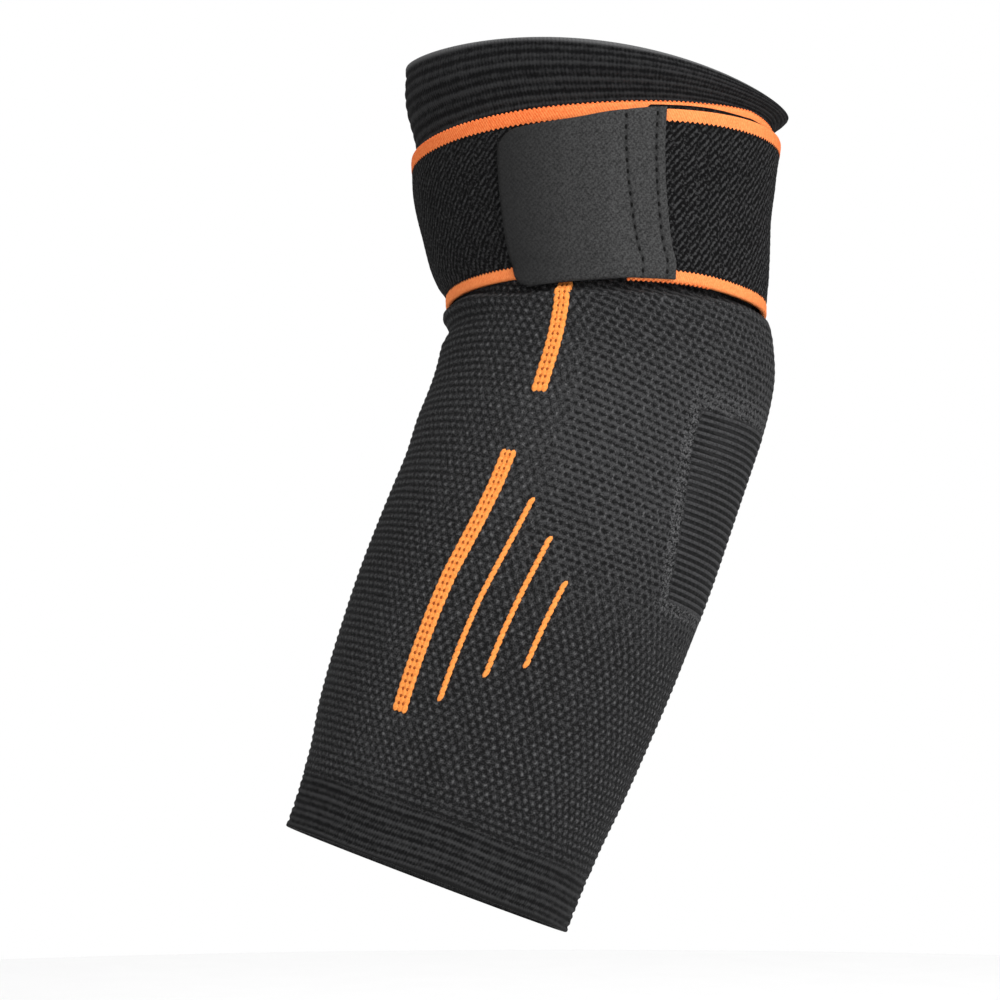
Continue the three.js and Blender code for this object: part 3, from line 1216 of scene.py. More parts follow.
class GeometryTree:
    """A Geometry Nodes tree with named inputs, ready to be set on path objects."""

    def __init__(self, name: str, numbers: Sequence[str]) -> None:
        """Starts the tree.

        Args:
            name: The tree's name.
            numbers: The names of its number inputs.
        """
        self.tree = bpy.data.node_groups.new(name, "GeometryNodeTree")
        face = self.tree.interface
        face.new_socket("Geometry", in_out="INPUT", socket_type="NodeSocketGeometry")
        self.sockets = {
            label: face.new_socket(label, in_out="INPUT", socket_type="NodeSocketFloat") for label in numbers
        }
        self.sockets["Finish"] = face.new_socket("Finish", in_out="INPUT", socket_type="NodeSocketMaterial")
        face.new_socket("Geometry", in_out="OUTPUT", socket_type="NodeSocketGeometry")
        self.maker = NodeMaker(self.tree)
        self.source = self.maker.node("NodeGroupInput")

    def given(self, name: str) -> bpy.types.NodeSocket:
        """Returns one of the tree's inputs."""
        return self.source.outputs[name]

    def spaced(self, step: str) -> Wire:
        """Turns the path into a curve with points at even steps.

        Args:
            step: The name of the input that gives the step.

        Returns:
            The curve.
        """
        curve = self.maker.wire("GeometryNodeMeshToCurve", {}, {"Mesh": self.given("Geometry")})
        sockets = {"Curve": curve, "Length": self.given(step)}
        return self.maker.wire("GeometryNodeResampleCurve", {"mode": "LENGTH"}, sockets)

    def close(self, geometry: Wire) -> None:
        """Ends the tree: real copies, smooth faces and the finish.

        Args:
            geometry: What the tree has made.
        """
        real = self.maker.wire("GeometryNodeRealizeInstances", {}, {"Geometry": geometry})
        smooth = self.maker.wire("GeometryNodeSetShadeSmooth", {}, {"Geometry": real})
        sockets = {"Geometry": smooth, "Material": self.given("Finish")}
        dressed = self.maker.wire("GeometryNodeSetMaterial", {}, sockets)
        self.maker.node("NodeGroupOutput", {}, {"Geometry": dressed})

    def put_on(self, target: bpy.types.Object, numbers: dict[str, float], finish: bpy.types.Material) -> None:
        """Adds the tree to an object as a modifier.

        Args:
            target: The object that gets it.
            numbers: The values of its number inputs, by name.
            finish: Its material.
        """
        modifier = target.modifiers.new(self.tree.name, "NODES")
        modifier.node_group = self.tree
        for name, value in {**numbers, "Finish": finish}.items():
            modifier[self.sockets[name].identifier] = value


class LoopTree(GeometryTree):
    """Puts yarn loops or thread dashes along a path."""

    measures: tuple[str, str, str] = ("Length", "Width", "Rise")
    segments: int = 8
    rings: int = 6

    def __init__(self) -> None:
        """Builds the tree. Lengths are in metres and Turn is in radians."""
        super().__init__("yarn_loops", ("Pitch", *self.measures, "Turn"))
        wire = self.maker.wire
        points = self.spaced("Pitch")
        counts = {"Segments": self.segments, "Rings": self.rings, "Radius": 0.5}
        ball = wire("GeometryNodeMeshUVSphere", {}, counts)
        measures = {axis: self.given(name) for axis, name in zip("XYZ", self.measures)}
        size = wire("ShaderNodeCombineXYZ", {}, measures)
        loop = wire("GeometryNodeTransform", {}, {"Geometry": ball, "Scale": size})
        facing = wire("GeometryNodeInputNamedAttribute", {"data_type": "FLOAT_VECTOR"}, {"Name": "facing"})
        align = "FunctionNodeAlignRotationToVector"
        upright = wire(align, {"axis": "Z"}, {"Vector": facing})
        tangent = wire("GeometryNodeInputTangent")
        ahead = wire(align, {"axis": "X", "pivot_axis": "Z"}, {"Rotation": upright, "Vector": tangent})
        turning = {"Axis": (0, 0, 1), "Angle": self.given("Turn")}
        turn = wire("FunctionNodeAxisAngleToRotation", {}, turning)
        both = {"Rotation": ahead, "Rotate By": turn}
        turned = wire("FunctionNodeRotateRotation", {"rotation_space": "LOCAL"}, both)
        copies = {"Points": points, "Instance": loop, "Rotation": turned}
        self.close(wire("GeometryNodeInstanceOnPoints", {}, copies))

    @staticmethod
    def numbers(pitch: float, size: Size, turn: float = 0.0) -> dict[str, float]:
        """Gives the tree's inputs for loops of one size.

        Args:
            pitch: The distance between two loops, in millimetres.
            size: Their length, width and rise, in millimetres.
            turn: How far they are turned from the path, in degrees.

        Returns:
            The inputs by name, in metres and radians.
        """
        measures = {name: value * MM for name, value in zip(LoopTree.measures, size)}
        return {"Pitch": pitch * MM, **measures, "Turn": math.radians(turn)}


class RibTree(GeometryTree):
    """Draws a rounded yarn along each path."""

    sides: int = 8

    def __init__(self) -> None:
        """Builds the tree. Step is the distance between the yarn's rings, in metres."""
        super().__init__("yarn_ribs", ("Step", "Radius"))
        wire = self.maker.wire
        path = self.spaced("Step")
        circle = {"Resolution": self.sides, "Radius": self.given("Radius")}
        ring = wire("GeometryNodeCurvePrimitiveCircle", {}, circle)
        profile = {"Curve": path, "Profile Curve": ring, "Fill Caps": True}
        self.close(wire("GeometryNodeCurveToMesh", {}, profile))


# Sub-assemblies


@dataclass
class BracePiece:
    """A sub-assembly of the brace: what all its pieces share."""

    form: WornForm
    slot: Slot

    def settle(self, piece: bpy.types.Object, nodes: Sequence[str] = ()) -> bpy.types.Object:
        """Makes a piece ride on the body.

        Args:
            piece: The finished piece.
            nodes: The solids that it stands for.

        Returns:
            The piece.
        """
        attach(piece, BODY)
        if nodes:
            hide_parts(*nodes)
        LOG.info("%s: %d faces", piece.name, len(piece.data.polygons))
        return piece

    def yarn_piece(
        self,
        name: str,
        tree: GeometryTree,
        finish: Finish,
        rows: Sequence[tuple[YarnPath, dict[str, float]]],
    ) -> bpy.types.Object:
        """Makes one dressed piece of the yarn that a tree lays along some paths.

        Args:
            name: The piece's name.
            tree: The tree.
            finish: The yarn's finish.
            rows: Each path, with the tree's number inputs for it.

        Returns:
            The piece.
        """
        material = finish.material()
        laid = []
        for path, numbers in rows:
            laid.append(path.object(f"{name}_path"))
            tree.put_on(laid[-1], numbers, material)
        return self.settle(plain_mesh(name, laid, material))


@dataclass
class KnittedTube(BracePiece):
    """A knitted wall that goes round the arm: what the sleeve and the cuffs share."""

    wall: float = 2.0
    inner_columns: int = 72

    @staticmethod
    def grid(rows: np.ndarray, columns: int) -> Sequence[np.ndarray]:
        """Returns the place and the angle of each point of a grid that goes round."""
        return np.meshgrid(rows, np.arange(columns) / columns * FULL_TURN, indexing="ij")

    def lining(self, rows: np.ndarray) -> np.ndarray:
        """Returns the points of the inner side, one wall in from the knit, for some rows."""
        along, angle = self.grid(rows, self.inner_columns)
        return self.form.point(along, angle, self.form.knit_lift(along, angle) - self.wall)

    @staticmethod
    def round_uv(columns: int, rows: np.ndarray, per_turn: float, pitch: float) -> np.ndarray:
        """Returns UV values for a grid that goes round.

        Args:
            columns: How many columns the grid has.
            rows: The place of each row in millimetres.
            per_turn: How many units one turn has.
            pitch: How many millimetres one unit has down the arm.

        Returns:
            An array of rows by columns by 2.
        """
        across = np.arange(columns) / columns * per_turn
        u, v = np.meshgrid(across, -rows / pitch)
        return np.stack([u, v], -1)


@dataclass
class KnitSleeve(KnittedTube):
    """The knitted tube between the cuffs, with its elbow panel.

    Places are in millimetres on the arm, and sides in degrees from the back of the elbow. A fade is
    the distance over which something ends.
    """

    slot: Slot = Slot.KNIT
    top: float = 61.4
    bottom: float = -147.2
    wales: int = 112
    stitch_cycle: float = 4.4
    samples: int = 4
    inner_rows: int = 60
    relief: float = 0.25
    stitch_share: float = 0.42
    row_share: float = 0.48
    flank_row_share: float = 0.15
    flank_plainness: float = 0.6
    pressed_fade: Span = (0.2, 1.2)
    seam_fade: float = 2.5
    flank: float = 0.9
    flank_sides: Span = (125.0, 152.0)
    last_rows: float = 13.0
    pale_rows: Span = (-100.0, -30.0)
    elbow_rows: Span = (-20.0, 5.0)
    elbow_loss: float = 0.7
    inner_sides: Span = (100.0, 130.0)
    inner_loss: float = 0.55
    inner_gain: float = 0.45
    inner_gain_run: Span = (60.0, 110.0)
    net_rows: Span = (-92.0, -62.0)
    net_sides: Span = (92.0, 108.0)
    slants: Route = (
        (45.0, 0.0), (22.0, 0.4), (4.0, 0.4), (-22.0, 0.27), (-37.0, 0.2), (-51.0, 0.12), (-64.0, 0.06),
        (-90.0, 0.02), (-110.0, 0.0),
    )
    panel_edge: Route = (
        (-18.6, 54.0), (-29.9, 52.8), (-37.7, 50.5), (-45.3, 48.2), (-54.3, 45.8), (-61.9, 43.5),
        (-68.5, 41.0),
    )
    panel_fade: float = 1.5
    border_degrees: float = 5.0
    border_fade: float = 2.0
    border_top: float = -11.5
    border_top_fade: float = 2.5
    border_end: Span = (-4.0, -2.0)
    border_top_loss: float = 0.45
    border_top_step: float = 1.0
    rib_pitch: float = 1.8
    rib_radius: float = 0.7
    rib_sunk: float = 0.44
    rib_inset: float = 1.0
    rib_step: float = 1.6
    rib_points: int = 49

    def course(self, row: Any, angle: Any) -> np.ndarray:
        """Where a course of stitches lies. Near the elbow it slopes, square to the forearm.

        Args:
            row: The course's place along the middle of the arm.
            angle: Angles round it.

        Returns:
            Its places on the arm at those angles.
        """
        slant = looked_up(self.slants, row)
        half_wide = self.form.row(np.asarray(row, dtype=float))[3]
        aside = np.cos(np.radians(angle))
        return row - slant * half_wide * (aside - aside**3 / 3)

    @staticmethod
    def _aside(angle: np.ndarray) -> np.ndarray:
        """Returns how many degrees an angle lies from the back of the elbow, to either side."""
        return np.abs(np.mod(angle + FULL_TURN / 2, FULL_TURN) - FULL_TURN / 2)

    def _masks(self, along: np.ndarray, angle: np.ndarray) -> np.ndarray:
        """The regions of the knit.

        Args:
            along: Places on the arm.
            angle: Angles round it, of the same shape.

        Returns:
            The shares of elbow panel, of its speckled border, of plain rows and of paler stitches,
            which are partly painted light and shade.
        """
        aside = self._aside(angle)
        reach = looked_up(self.panel_edge, along)
        first, last = self.panel_edge[0][0], self.panel_edge[-1][0]
        panel = ease(reach - aside, 0.0, self.panel_fade) * (along > last) * (along < first)
        start, end = self.border_end
        border = ease(reach + self.border_degrees - aside, 0.0, self.border_fade)
        border = border * ease(-along, -self.border_top, self.border_top_fade - self.border_top)
        border = border * ease(along, last + start, last + end) * (1 - panel)
        step = self.border_top_step
        border = border * (1 - self.border_top_loss * ease(along, first - step, first + step))
        flank = self.flank * ease(aside, *self.flank_sides)
        plain = np.maximum(flank, ease(-along, -self.bottom - self.last_rows, -self.bottom))
        # Partly painted light and shade: the paler share lightens or darkens the knit by region, less towards
        # the sides and more again low on the forearm there.
        side = ease(aside, *self.inner_sides)
        pale = ease(along, *self.pale_rows) * (1 - self.elbow_loss * ease(along, *self.elbow_rows))
        pale *= 1 - self.inner_loss * side
        pale += self.inner_gain * side * ease(-along, *self.inner_gain_run)
        return np.stack([panel, border, plain, pale], -1)

    def _net(self, along: np.ndarray, angle: np.ndarray) -> np.ndarray:
        """Returns 1 where the knit looks like a net of holes, on the elbow's side, and 0 elsewhere."""
        return ease(along, *self.net_rows) * (1 - ease(self._aside(angle), *self.net_sides))

    def _stitches(self, masks: np.ndarray, net: np.ndarray) -> np.ndarray:
        """The relief of the stitches, before it fades where the knit is pressed.

        Args:
            masks: The regions of the knit at each point of the grid.
            net: The share of net there.

        Returns:
            How far each point stands out, in millimetres.
        """
        panel, flank = masks[..., 0], masks[..., 2]
        down, across = np.indices(net.shape) / self.samples
        plain = np.maximum(panel, self.flank_plainness * flank)
        stitch_share = self.stitch_share * (1 - plain)
        row_share = (self.row_share + self.flank_row_share * flank) * (1 - panel) * (1 - 2 * net)
        return self.relief * (stitch_share * wave(across) * wave(down) + row_share * wave(2 * down))

    def build(self) -> bpy.types.Object:
        """Builds the knitted wall.

        Returns:
            The sleeve as a dressed piece.
        """
        columns = self.samples * self.wales
        cycles = round((self.top - self.bottom) / self.stitch_cycle * 2) / 2
        rows = np.linspace(self.top, self.bottom, int(cycles * self.samples) + 1)
        row, angle = self.grid(rows, columns)
        along = self.course(row, angle)
        sunk = self.form.knit_lift(along, angle)
        masks, net = self._masks(along, angle), self._net(along, angle)
        relief = self._stitches(masks, net) * (1 - ease(-sunk, *self.pressed_fade))
        relief *= ease(along, self.bottom, self.bottom + self.seam_fade)
        in_rows = np.linspace(self.top, self.bottom, self.inner_rows)
        pitch = (self.top - self.bottom) / cycles
        wall = ClothWall(
            self.form.point(along, angle, sunk + relief),
            self.lining(in_rows),
            self.round_uv(columns, rows - self.top, self.wales, pitch),
            self.round_uv(self.inner_columns, in_rows - self.top, self.wales, pitch),
            True,
        )
        piece = wall.object("knit_sleeve", KNIT)
        self._paint(piece, masks, net)
        return self.settle(piece, ["sleeve"])

    @staticmethod
    def _paint(piece: bpy.types.Object, masks: np.ndarray, net: np.ndarray) -> None:
        """Keeps the regions of the knit as the attributes cloth and net. The inner side is a pale net.

        Args:
            piece: The sleeve, with the points of its outer side first.
            masks: The regions at each point of the outer side.
            net: The share of net there.
        """
        count = len(piece.data.vertices)
        shares = np.ones(count, dtype=np.float32)
        shares[: net.size] = net.ravel()
        holes = piece.data.attributes.new("net", "FLOAT", "POINT")
        holes.data.foreach_set("value", shares)
        regions = np.tile(np.array([0.0, 0.0, 0.0, 1.0], dtype=np.float32), (count, 1))
        regions[: net.size] = masks.reshape(-1, 4)
        cloth = piece.data.color_attributes.new("cloth", "FLOAT_COLOR", "POINT")
        cloth.data.foreach_set("color", regions.ravel())

    def build_ribs(self, tree: RibTree) -> bpy.types.Object:
        """Builds the elbow panel's ribs.

        Args:
            tree: The tree that draws yarn along a path.

        Returns:
            The ribs as one dressed piece.
        """
        numbers = {"Step": self.rib_step * MM, "Radius": self.rib_radius * MM}
        first, last = self.panel_edge[0][0], self.panel_edge[-1][0]
        rows = []
        for along in np.arange(first - self.rib_pitch / 2, last, -self.rib_pitch):
            reach = looked_up(self.panel_edge, along) - self.rib_inset
            angles = np.linspace(-reach, reach, self.rib_points)
            rows.append((YarnPath.on(self.form, along, angles, -self.rib_sunk), numbers))
        return self.yarn_piece("elbow_panel_ribs", tree, RIBS, rows)


@dataclass
class StripeSet(BracePiece):
    """The orange stripes that are knitted into the sleeve, each a route of places and angles."""

    slot: Slot = Slot.KNIT
    course_pitch: float = 2.13
    wide_paths: tuple[Route, ...] = (
        ((16.5, 105.4), (11.5, 106.6), (3.8, 108.1), (-4.3, 109.2), (-12.2, 109.8), (-18.5, 109.7)),
        (
            (-40.3, 113.6), (-50.0, 114.0), (-60.3, 115.5), (-70.9, 117.3), (-79.0, 118.8),
            (-90.9, 119.5), (-120.9, 120.0),
        ),
    )
    thin_paths: tuple[Route, ...] = (
        ((-53.3, 100.5), (-68.9, 103.0), (-84.5, 105.6), (-99.5, 106.5), (-114.3, 106.8)),
        ((-62.9, 90.7), (-78.1, 92.9), (-90.9, 94.2), (-103.7, 94.8)),
        ((-73.7, 80.8), (-85.7, 82.4), (-97.5, 83.2)),
    )
    outer_column: float = 1.45
    outer_size: Size = (3.2, 2.0, 0.85)
    middle_size: Size = (3.0, 1.9, 0.85)
    thin_size: Size = (3.6, 1.62, 1.0)
    thin_turn: float = 15.0
    lift: float = 0.15
    ground_column: float = 0.74
    ground_size: Size = (1.05, 0.85, 0.9)
    ground_lift: float = 0.26
    path_points: int = 60
    curve_degree: int = 3
    smoothing: float = 0.35

    def _path(self, route: Route, aside: float, lift: float, ahead: float = 0.0) -> YarnPath:
        """The path of one column of loops.

        Args:
            route: Places on the arm and angles round it.
            aside: How far the column stands off the route, in millimetres.
            lift: How far it is raised off the knit.
            ahead: How far up the arm it starts.

        Returns:
            The path.
        """
        rows = np.array(route)[::-1]
        along = np.linspace(rows[0, 0] + ahead, rows[-1, 0], self.path_points)
        degree = min(self.curve_degree, len(rows) - 1)
        smooth = np.polyval(np.polyfit(rows[:, 0], rows[:, 1], degree), along)
        angle = mix(looked_up(route, along), smooth, self.smoothing)
        angle = self.form.angle_after(along, angle, aside)
        return YarnPath.on(self.form, along, angle, self.form.knit_lift(along, angle) + lift)

    def build(self, tree: LoopTree) -> bpy.types.Object:
        """Builds the loops of all stripes.

        Args:
            tree: The tree that lays loops along a path.

        Returns:
            The stripes as one dressed piece.
        """
        columns: list[tuple[Route, float, Size, float]] = []
        for route in self.wide_paths:
            columns += [(route, side * self.outer_column, self.outer_size, 0.0) for side in (-1, 1)]
            columns.append((route, 0.0, self.middle_size, 0.0))
        columns += [(route, 0.0, self.thin_size, self.thin_turn) for route in self.thin_paths]
        rows = [
            (self._path(route, aside, self.lift), tree.numbers(self.course_pitch, size, turn))
            for route, aside, size, turn in columns
        ]
        return self.yarn_piece("orange_stripes", tree, STRIPE, rows)

    def build_ground(self, tree: LoopTree) -> bpy.types.Object:
        """Builds the stitches that show between the columns of the wide stripes. Their darker orange is
        painted shade in the holes there.

        Args:
            tree: The tree that lays loops along a path.

        Returns:
            The stitches as one dressed piece.
        """
        numbers = tree.numbers(self.course_pitch, self.ground_size)
        rows = [
            (self._path(route, side * self.ground_column, self.ground_lift, self.course_pitch / 2), numbers)
            for route in self.wide_paths
            for side in (-1, 1)
        ]
        return self.yarn_piece("orange_stripe_ground", tree, STRIPE_GROUND_SHADED, rows)


@dataclass
class RibbedCuff(KnittedTube):
    """A ribbed cuff at one end of the sleeve."""

    slot: Slot = Slot.RIBBED_KNIT
    end: End = End.UPPER
    height: float = 24.0
    wall: float = 2.4
    rib_pitch: float = 1.95
    rib_height: float = 0.44
    heavy_pitch: float = 4.8
    heavy_phase: float = 0.2
    heavy_shares: Span = (0.68, 0.32)
    wander: float = 0.22
    wander_waves: tuple[Size, ...] = ((3.0, 1.0, 1.0), (7.0, 0.0, 0.6))
    stitches: int = 300
    corner: float = 0.5
    corner_rows: int = 6
    columns: int = 240
    row_step: float = 0.3
    inner_rows: int = 14
    hem_fade: Span = (0.6, 1.6)
    seam_fade: float = 0.6

    def _rows(self) -> tuple[np.ndarray, np.ndarray, np.ndarray]:
        """The rows of the outer side, from the free edge's top to the sleeve.

        Returns:
            Each row's place, its lift and its place past the free edge, all in millimetres.
        """
        turns = np.radians(np.linspace(90.0, 0.0, self.corner_rows))
        straight = np.arange(self.corner, self.height, self.row_step)[1:]
        past_edge = np.concatenate([self.corner * (1 - np.sin(turns)), straight])
        lifts = np.concatenate([-self.corner * (1 - np.cos(turns)), np.zeros(len(straight))])
        past_edge[-1] = self.height
        edge = self.form.upper_length if self.end is End.UPPER else -self.form.forearm_length
        return edge - self.end.value * past_edge, lifts, past_edge

    def build(self, name: str, node: str) -> bpy.types.Object:
        """The cuff as a dressed piece.

        Args:
            name: The piece's name.
            node: The solid that it replaces.

        Returns:
            The piece.
        """
        rows, lifts, past_edge = self._rows()
        along, angle = self.grid(rows, self.columns)
        turn = np.radians(angle)
        waves = sum(size * np.sin(count * turn + phase) for count, phase, size in self.wander_waves)
        wandered = past_edge[:, None] + self.wander * waves
        level, swing = self.heavy_shares
        grooves = 0.5 + 0.5 * wave(wandered / self.rib_pitch)
        grooves *= level - swing * wave(wandered / self.heavy_pitch + self.heavy_phase)
        grooves *= ease(past_edge, *self.hem_fade)[:, None]
        grooves *= ease(self.height - past_edge, 0.0, self.seam_fade)[:, None]
        lift = self.form.knit_lift(along, angle) + lifts[:, None] - self.rib_height * grooves
        in_rows = np.linspace(rows[0], rows[-1], self.inner_rows)
        grids = [self.form.point(along, angle, lift), self.lining(in_rows)]
        outer_uv = self.round_uv(self.columns, -past_edge, self.stitches, self.rib_pitch)
        outer_uv[..., 1] = wandered / self.rib_pitch
        inside = np.abs(in_rows - rows[0]) + self.rib_pitch
        uvs = [outer_uv, self.round_uv(self.inner_columns, -inside, self.stitches, self.rib_pitch)]
        if self.end is End.LOWER:
            grids = [grid[::-1] for grid in grids]
            uvs = [uv[::-1] for uv in uvs]
        wall = ClothWall(grids[0], grids[1], uvs[0], uvs[1], True)
        return self.settle(wall.object(name, UPPER_CUFF if self.end is End.UPPER else LOWER_CUFF), [node])


@dataclass
class ElasticStrap(BracePiece):
    """The elastic strap, wound once round the arm over its own inner end."""

    slot: Slot = Slot.ELASTIC
    column_step: float = 0.46
    rows: int = 92
    inner_rows: int = 10
    inner_columns: int = 180
    weave_height: float = 0.15
    edge_height: float = 0.1
    band_fade: float = 0.4
    rim_drop: float = 0.35
    rim_run: float = 0.8
    tooth: Size = (1.1, 1.3, 1.2)
    tooth_inset: float = 0.1
    tooth_sunk: float = 0.62
    tooth_points: int = 400
    length_points: int = 200
    tooth_runs: tuple[tuple[bool, float, float], ...] = ((True, 0.0, 0.8), (False, 0.93, 1.0))
    tuck: Route = (
        (0.0, 3.3), (8.0, 1.5), (23.0, 0.2), (43.0, 0.9), (58.0, 1.1), (75.0, 1.2), (110.0, 0.5),
        (353.0, 0.4), (355.5, 1.5), (367.0, 1.6),
    )
    end_rise: float = 0.9
    end_reach: Span = (322.0, 350.0)

    def _grid(self, across: np.ndarray, shares: np.ndarray, lift: Any) -> tuple[np.ndarray, ...]:
        """A grid of the strap.

        Args:
            across: Distances from the upper edge.
            shares: Shares of the strap's length.
            lift: How far its points are raised off the outer side.

        Returns:
            The points, and the place and the turned angle of each.
        """
        start = self.form.strap_top - across[:, None] + 0 * shares[None, :]
        end = self.form.strap_end(start[:, :1] - self.form.strap_drift) + FULL_TURN
        angle = mix(self.form.strap_start, end, shares[None, :])
        climb = self.form.climbed(angle)
        table = np.array(self.tuck)
        length = shares * table[-1, 0]
        lowered = np.interp(length, table[:, 0], table[:, 1])
        raised = self.end_rise * ease(length, *self.end_reach)
        near_top = 1 - across[:, None] / self.form.strap_width
        along = start - self.form.strap_drift * climb - lowered * near_top + raised * (1 - near_top)
        return self.form.point(along, angle, lift - self.form.layer * (1 - climb)), along, angle

    def _length(self) -> float:
        """Measures the strap along its middle.

        Returns:
            Its length in millimetres.
        """
        shares = np.linspace(0, 1, self.length_points)
        points = self._grid(np.array([self.form.strap_width / 2]), shares, 0.0)[0]
        return float(np.linalg.norm(np.diff(points[0], axis=0), axis=1).sum()) / MM

    def _relief(self, u: np.ndarray, v: np.ndarray) -> np.ndarray:
        """The relief of the weave and of the raised edges.

        Args:
            u: Places from the strap's inner end.
            v: Places from its top.

        Returns:
            How far each point stands out, in millimetres.
        """
        width, fade = self.form.strap_width, self.band_fade
        low = width - ELASTIC.lower_edge
        above = 1 - ease(v, ELASTIC.upper_edge - fade, ELASTIC.upper_edge + fade)
        band = np.maximum(above, ease(v, low - fade, low + fade))
        rounded = self.rim_drop * (1 - ease(np.minimum(v, width - v), 0.0, self.rim_run))
        weave = ELASTIC.woven(v / ELASTIC.course, u / ELASTIC.step, wave)
        clear = 0.5 + 0.5 * ease(u, *ELASTIC.steady)
        return self.weave_height * clear * (weave - 1) * (1 - band) + self.edge_height * band - rounded

    def build(self) -> bpy.types.Object:
        """Builds the woven band.

        Returns:
            The strap as a dressed piece.
        """
        width, length = self.form.strap_width, self._length()
        across = np.linspace(0.0, width, self.rows)
        shares = np.linspace(0.0, 1.0, int(length / self.column_step))
        u, v = np.meshgrid(shares * length, across)
        outer = self._grid(across, shares, self._relief(u, v))[0]
        in_across = np.linspace(0.0, width, self.inner_rows)
        in_shares = np.linspace(0.0, 1.0, self.inner_columns)
        inner = self._grid(in_across, in_shares, -self.form.strap_thickness)[0]
        in_uv = np.stack(np.meshgrid(in_shares * length, in_across), -1)
        wall = ClothWall(outer, inner, np.stack([u, v], -1), in_uv, False)
        return self.settle(wall.object("elastic_strap", ELASTIC), ["strap"])

    def build_teeth(self, tree: LoopTree) -> bpy.types.Object:
        """Builds the small loops along the edges.

        Args:
            tree: The tree that lays loops along a path.

        Returns:
            The loops as one dressed piece.
        """
        numbers = tree.numbers(ELASTIC.tooth_pitch, self.tooth)
        rows = []
        for upper, first, last in self.tooth_runs:
            shares = np.linspace(first, last, self.tooth_points)
            across = self.tooth_inset if upper else self.form.strap_width - self.tooth_inset
            points, along, angle = self._grid(np.array([across]), shares, -self.tooth_sunk)
            rows.append((YarnPath(points[0], self.form.facing(along[0], angle[0])), numbers))
        return self.yarn_piece("strap_edge_loops", tree, PICOT, rows)


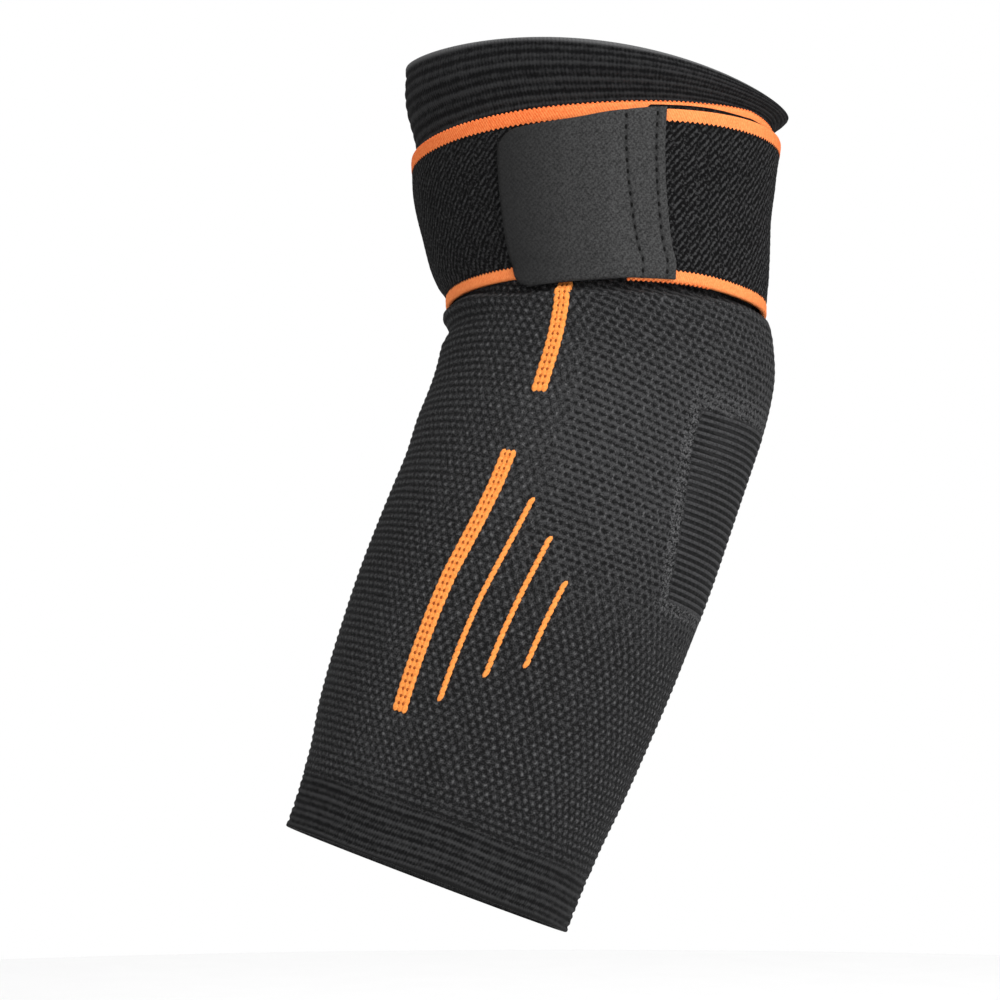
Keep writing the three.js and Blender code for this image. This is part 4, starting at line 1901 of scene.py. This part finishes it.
@dataclass
class HookTab(BracePiece):
    """The hook tab that closes the strap, with its two rows of stitches."""

    slot: Slot = Slot.HOOK_TAPE
    thickness: float = 1.3
    corner: float = 6.5
    corner_columns: int = 16
    straight_columns: int = 88
    rows: int = 98
    inner_rows: int = 14
    inner_share: int = 4
    rim_drop: float = 0.5
    rim_run: float = 0.9
    seams: tuple[Span, ...] = TAPE.seams
    seam_depth: float = 0.3
    seam_reach: float = 0.7
    stitch_pitch: float = 3.3
    stitch: Size = (1.5, 0.75, 0.6)
    stitch_lift: float = 0.12
    stitch_span: Span = (0.46, -0.46)
    stitch_points: int = 60
    step_reach: float = 13.0
    low_corner: float = 0.5
    high_corner: float = 0.6
    skew: float = 1.7

    def _place(self, distance: np.ndarray, share: np.ndarray) -> tuple[np.ndarray, np.ndarray]:
        """Where points of the tab lie.

        Args:
            distance: Distances from the sewn edge.
            share: Shares of the width, from 0.5 at the upper edge to -0.5 at the lower.

        Returns:
            Their places on the arm and their angles round it.
        """
        form = self.form
        cut = np.maximum(0.0, distance - (form.tab_length - self.corner))
        rounding = self.corner - np.sqrt(np.maximum(0.0, self.corner**2 - cut**2))
        off = distance + self.skew * (0.5 - share) * (1 - distance / form.tab_length) - form.tab_length / 2
        along = form.tab_middle + share * (form.tab_width - 2 * rounding)
        along = along - off * math.tan(math.radians(form.tab_tilt))
        sewn = ease(-off, 0.0, form.tab_length / 2)
        along = along - sewn * np.where(share > 0, -self.high_corner, self.low_corner) * np.abs(2 * share)
        return along, form.angle_after(along, form.tab_angle, off)

    def _lift(self, distance: np.ndarray, angle: np.ndarray, thickness: Any) -> np.ndarray:
        """The lift of the tab's points, which step down past the strap's end.

        Args:
            distance: Their distances from the sewn edge.
            angle: Their angles round the arm.
            thickness: How far they lie above the tab's inner side.

        Returns:
            The lift of each off the worn outline.
        """
        form = self.form
        reach = np.where(np.asarray(thickness) > 0, self.step_reach, 2 * form.layer)
        down = ease(distance, form.tab_seam + form.layer_gap, form.tab_seam + reach)
        return form.layer_gap + thickness - form.layer * down * (1 - form.climbed(angle))

    def _seam_distance(self, seam: Span, share: Any) -> Any:
        """Returns how far a row of stitches lies from the sewn edge, at shares of the width."""
        return mix(seam[1], seam[0], share + 0.5)

    def build(self) -> bpy.types.Object:
        """Builds the tab's cloth.

        Returns:
            The tab as a dressed piece.
        """
        form = self.form
        straight = np.linspace(0.0, form.tab_length - self.corner, self.straight_columns)
        turns = np.linspace(0, math.pi / 2, self.corner_columns + 1)[1:]
        bent = form.tab_length - self.corner * (1 - np.sin(turns))
        distances = np.concatenate([straight, bent])
        distance, share = np.meshgrid(distances, np.linspace(0.5, -0.5, self.rows))
        along, angle = self._place(distance, share)
        inset = np.minimum(distance, form.tab_length - distance)
        inset = np.minimum(inset, (0.5 - np.abs(share)) * form.tab_width)
        relief = -self.rim_drop * (1 - ease(inset, 0.0, self.rim_run))
        for seam in self.seams:
            off = (distance - self._seam_distance(seam, share)) / self.seam_reach
            relief = relief - self.seam_depth * np.exp(-off * off)
        outer = form.point(along, angle, self._lift(distance, angle, self.thickness + relief))
        skipped = self.inner_share
        in_distances = np.concatenate([straight[::skipped], bent[::skipped], bent[-1:]])
        in_distance, in_share = np.meshgrid(in_distances, np.linspace(0.5, -0.5, self.inner_rows))
        in_along, in_angle = self._place(in_distance, in_share)
        inner = form.point(in_along, in_angle, self._lift(in_distance, in_angle, 0.0))
        both = ((distance, share), (in_distance, in_share))
        uvs = [np.stack([u, -v * form.tab_width], -1) for u, v in both]
        wall = ClothWall(outer, inner, *uvs, False)
        return self.settle(wall.object("hook_tab_cloth", TAPE), ["hook_tab"])

    def build_stitches(self, tree: LoopTree) -> bpy.types.Object:
        """Builds both rows of stitches.

        Args:
            tree: The tree that lays dashes along a path.

        Returns:
            The stitches as one dressed piece.
        """
        numbers = tree.numbers(self.stitch_pitch, self.stitch)
        shares = np.linspace(*self.stitch_span, self.stitch_points)
        rows = []
        for seam in self.seams:
            distance = self._seam_distance(seam, shares)
            along, angle = self._place(distance, shares)
            lift = self._lift(distance, angle, self.thickness - self.seam_depth + self.stitch_lift)
            rows.append((YarnPath.on(self.form, along, angle, lift), numbers))
        return self.yarn_piece("hook_tab_stitches", tree, THREAD, rows)


@dataclass(frozen=True)
class AreaLight:
    """A soft square light, in metres and watts."""

    name: str
    place: Size
    size: float
    power: float

    def build(self, target: Vector) -> None:
        """Adds the light to the scene.

        Args:
            target: The point that it is turned to.
        """
        data = bpy.data.lights.new(self.name, "AREA")
        data.size = self.size
        data.energy = self.power
        light = placed(self.name, data)
        light.location = self.place
        light.rotation_euler = (target - Vector(self.place)).to_track_quat("-Z", "Y").to_euler()


@dataclass
class Studio:
    """The floor, the lights and the camera."""

    camera_place: Size = (-0.0345, -1.3, -0.0411)
    lens: float = 156.0
    sensor: float = 36.0
    aim: Size = (-0.02, 0.0, -0.04)
    floor_drop: float = 0.1
    floor_radius: float = 0.9
    floor_sides: int = 96
    sky: float = 0.26
    lights: tuple[AreaLight, ...] = (
        AreaLight("key_light", (0.6, -0.85, 0.55), 0.6, 11.5),
        AreaLight("fill_light", (-1.3, -0.9, 0.2), 1.2, 3.0),
        AreaLight("top_light", (0.0, 0.2, 2.2), 4.0, 84.0),
    )

    def build(self, lowest: float) -> None:
        """Builds the studio round the part.

        Args:
            lowest: The height of the part's lowest point, in metres.
        """
        scene = bpy.context.scene
        scene.view_settings.view_transform = "Standard"
        data = bpy.data.cameras.new("camera")
        data.lens, data.sensor_width = self.lens, self.sensor
        camera = placed("camera", data)
        camera.location = self.camera_place
        camera.rotation_euler = (math.pi / 2, 0.0, 0.0)
        scene.camera = camera
        for light in self.lights:
            light.build(Vector(self.aim))
        self._floor(lowest - self.floor_drop)
        world = bpy.data.worlds.new("studio_sky")
        world.use_nodes = True
        world.node_tree.nodes.clear()
        maker = NodeMaker(world.node_tree)
        seen = maker.wire("ShaderNodeLightPath", {}, {}, "Is Camera Ray")
        strength = seen * (1 - self.sky) + self.sky
        sky = maker.wire("ShaderNodeBackground", {}, {"Color": (1.0, 1.0, 1.0), "Strength": strength})
        maker.node("ShaderNodeOutputWorld", {}, {"Surface": sky})
        scene.world = world

    def _floor(self, height: float) -> None:
        """Adds a round pale floor.

        Args:
            height: Its height, in metres.
        """
        turns = np.arange(self.floor_sides) / self.floor_sides * TAU
        points = [(self.floor_radius * math.cos(t), self.floor_radius * math.sin(t), height) for t in turns]
        mesh = bpy.data.meshes.new("floor")
        mesh.from_pydata(points, [], [list(range(self.floor_sides))])
        mesh.materials.append(PAPER.material())
        placed("floor", mesh)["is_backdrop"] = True


# Main


def main() -> None:
    """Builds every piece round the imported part, then the studio."""
    logging.basicConfig(level=logging.INFO, format="%(name)s: %(message)s")
    cad_box = [list(corner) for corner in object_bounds()]
    form = WornForm()
    loops, ribs = LoopTree(), RibTree()

    sleeve_maker = KnitSleeve(form)
    sleeve = sleeve_maker.build()
    panel = sleeve_maker.build_ribs(ribs)
    stripe_maker = StripeSet(form)
    stripes = stripe_maker.build(loops)
    ground = stripe_maker.build_ground(loops)
    upper = RibbedCuff(form, end=End.UPPER, height=24.0).build("upper_ribbed_cuff", "upper_cuff")
    lower_maker = RibbedCuff(form, end=End.LOWER, height=17.1, rib_pitch=2.07, rib_height=0.46, wander=0.34)
    lower = lower_maker.build("lower_ribbed_cuff", "lower_cuff")
    strap_maker = ElasticStrap(form)
    strap = strap_maker.build()
    teeth = strap_maker.build_teeth(loops)
    tab_maker = HookTab(form)
    tab = tab_maker.build()
    stitches = tab_maker.build_stitches(loops)

    Studio().build(cad_box[0][2])


if __name__ == "__main__":
    main()
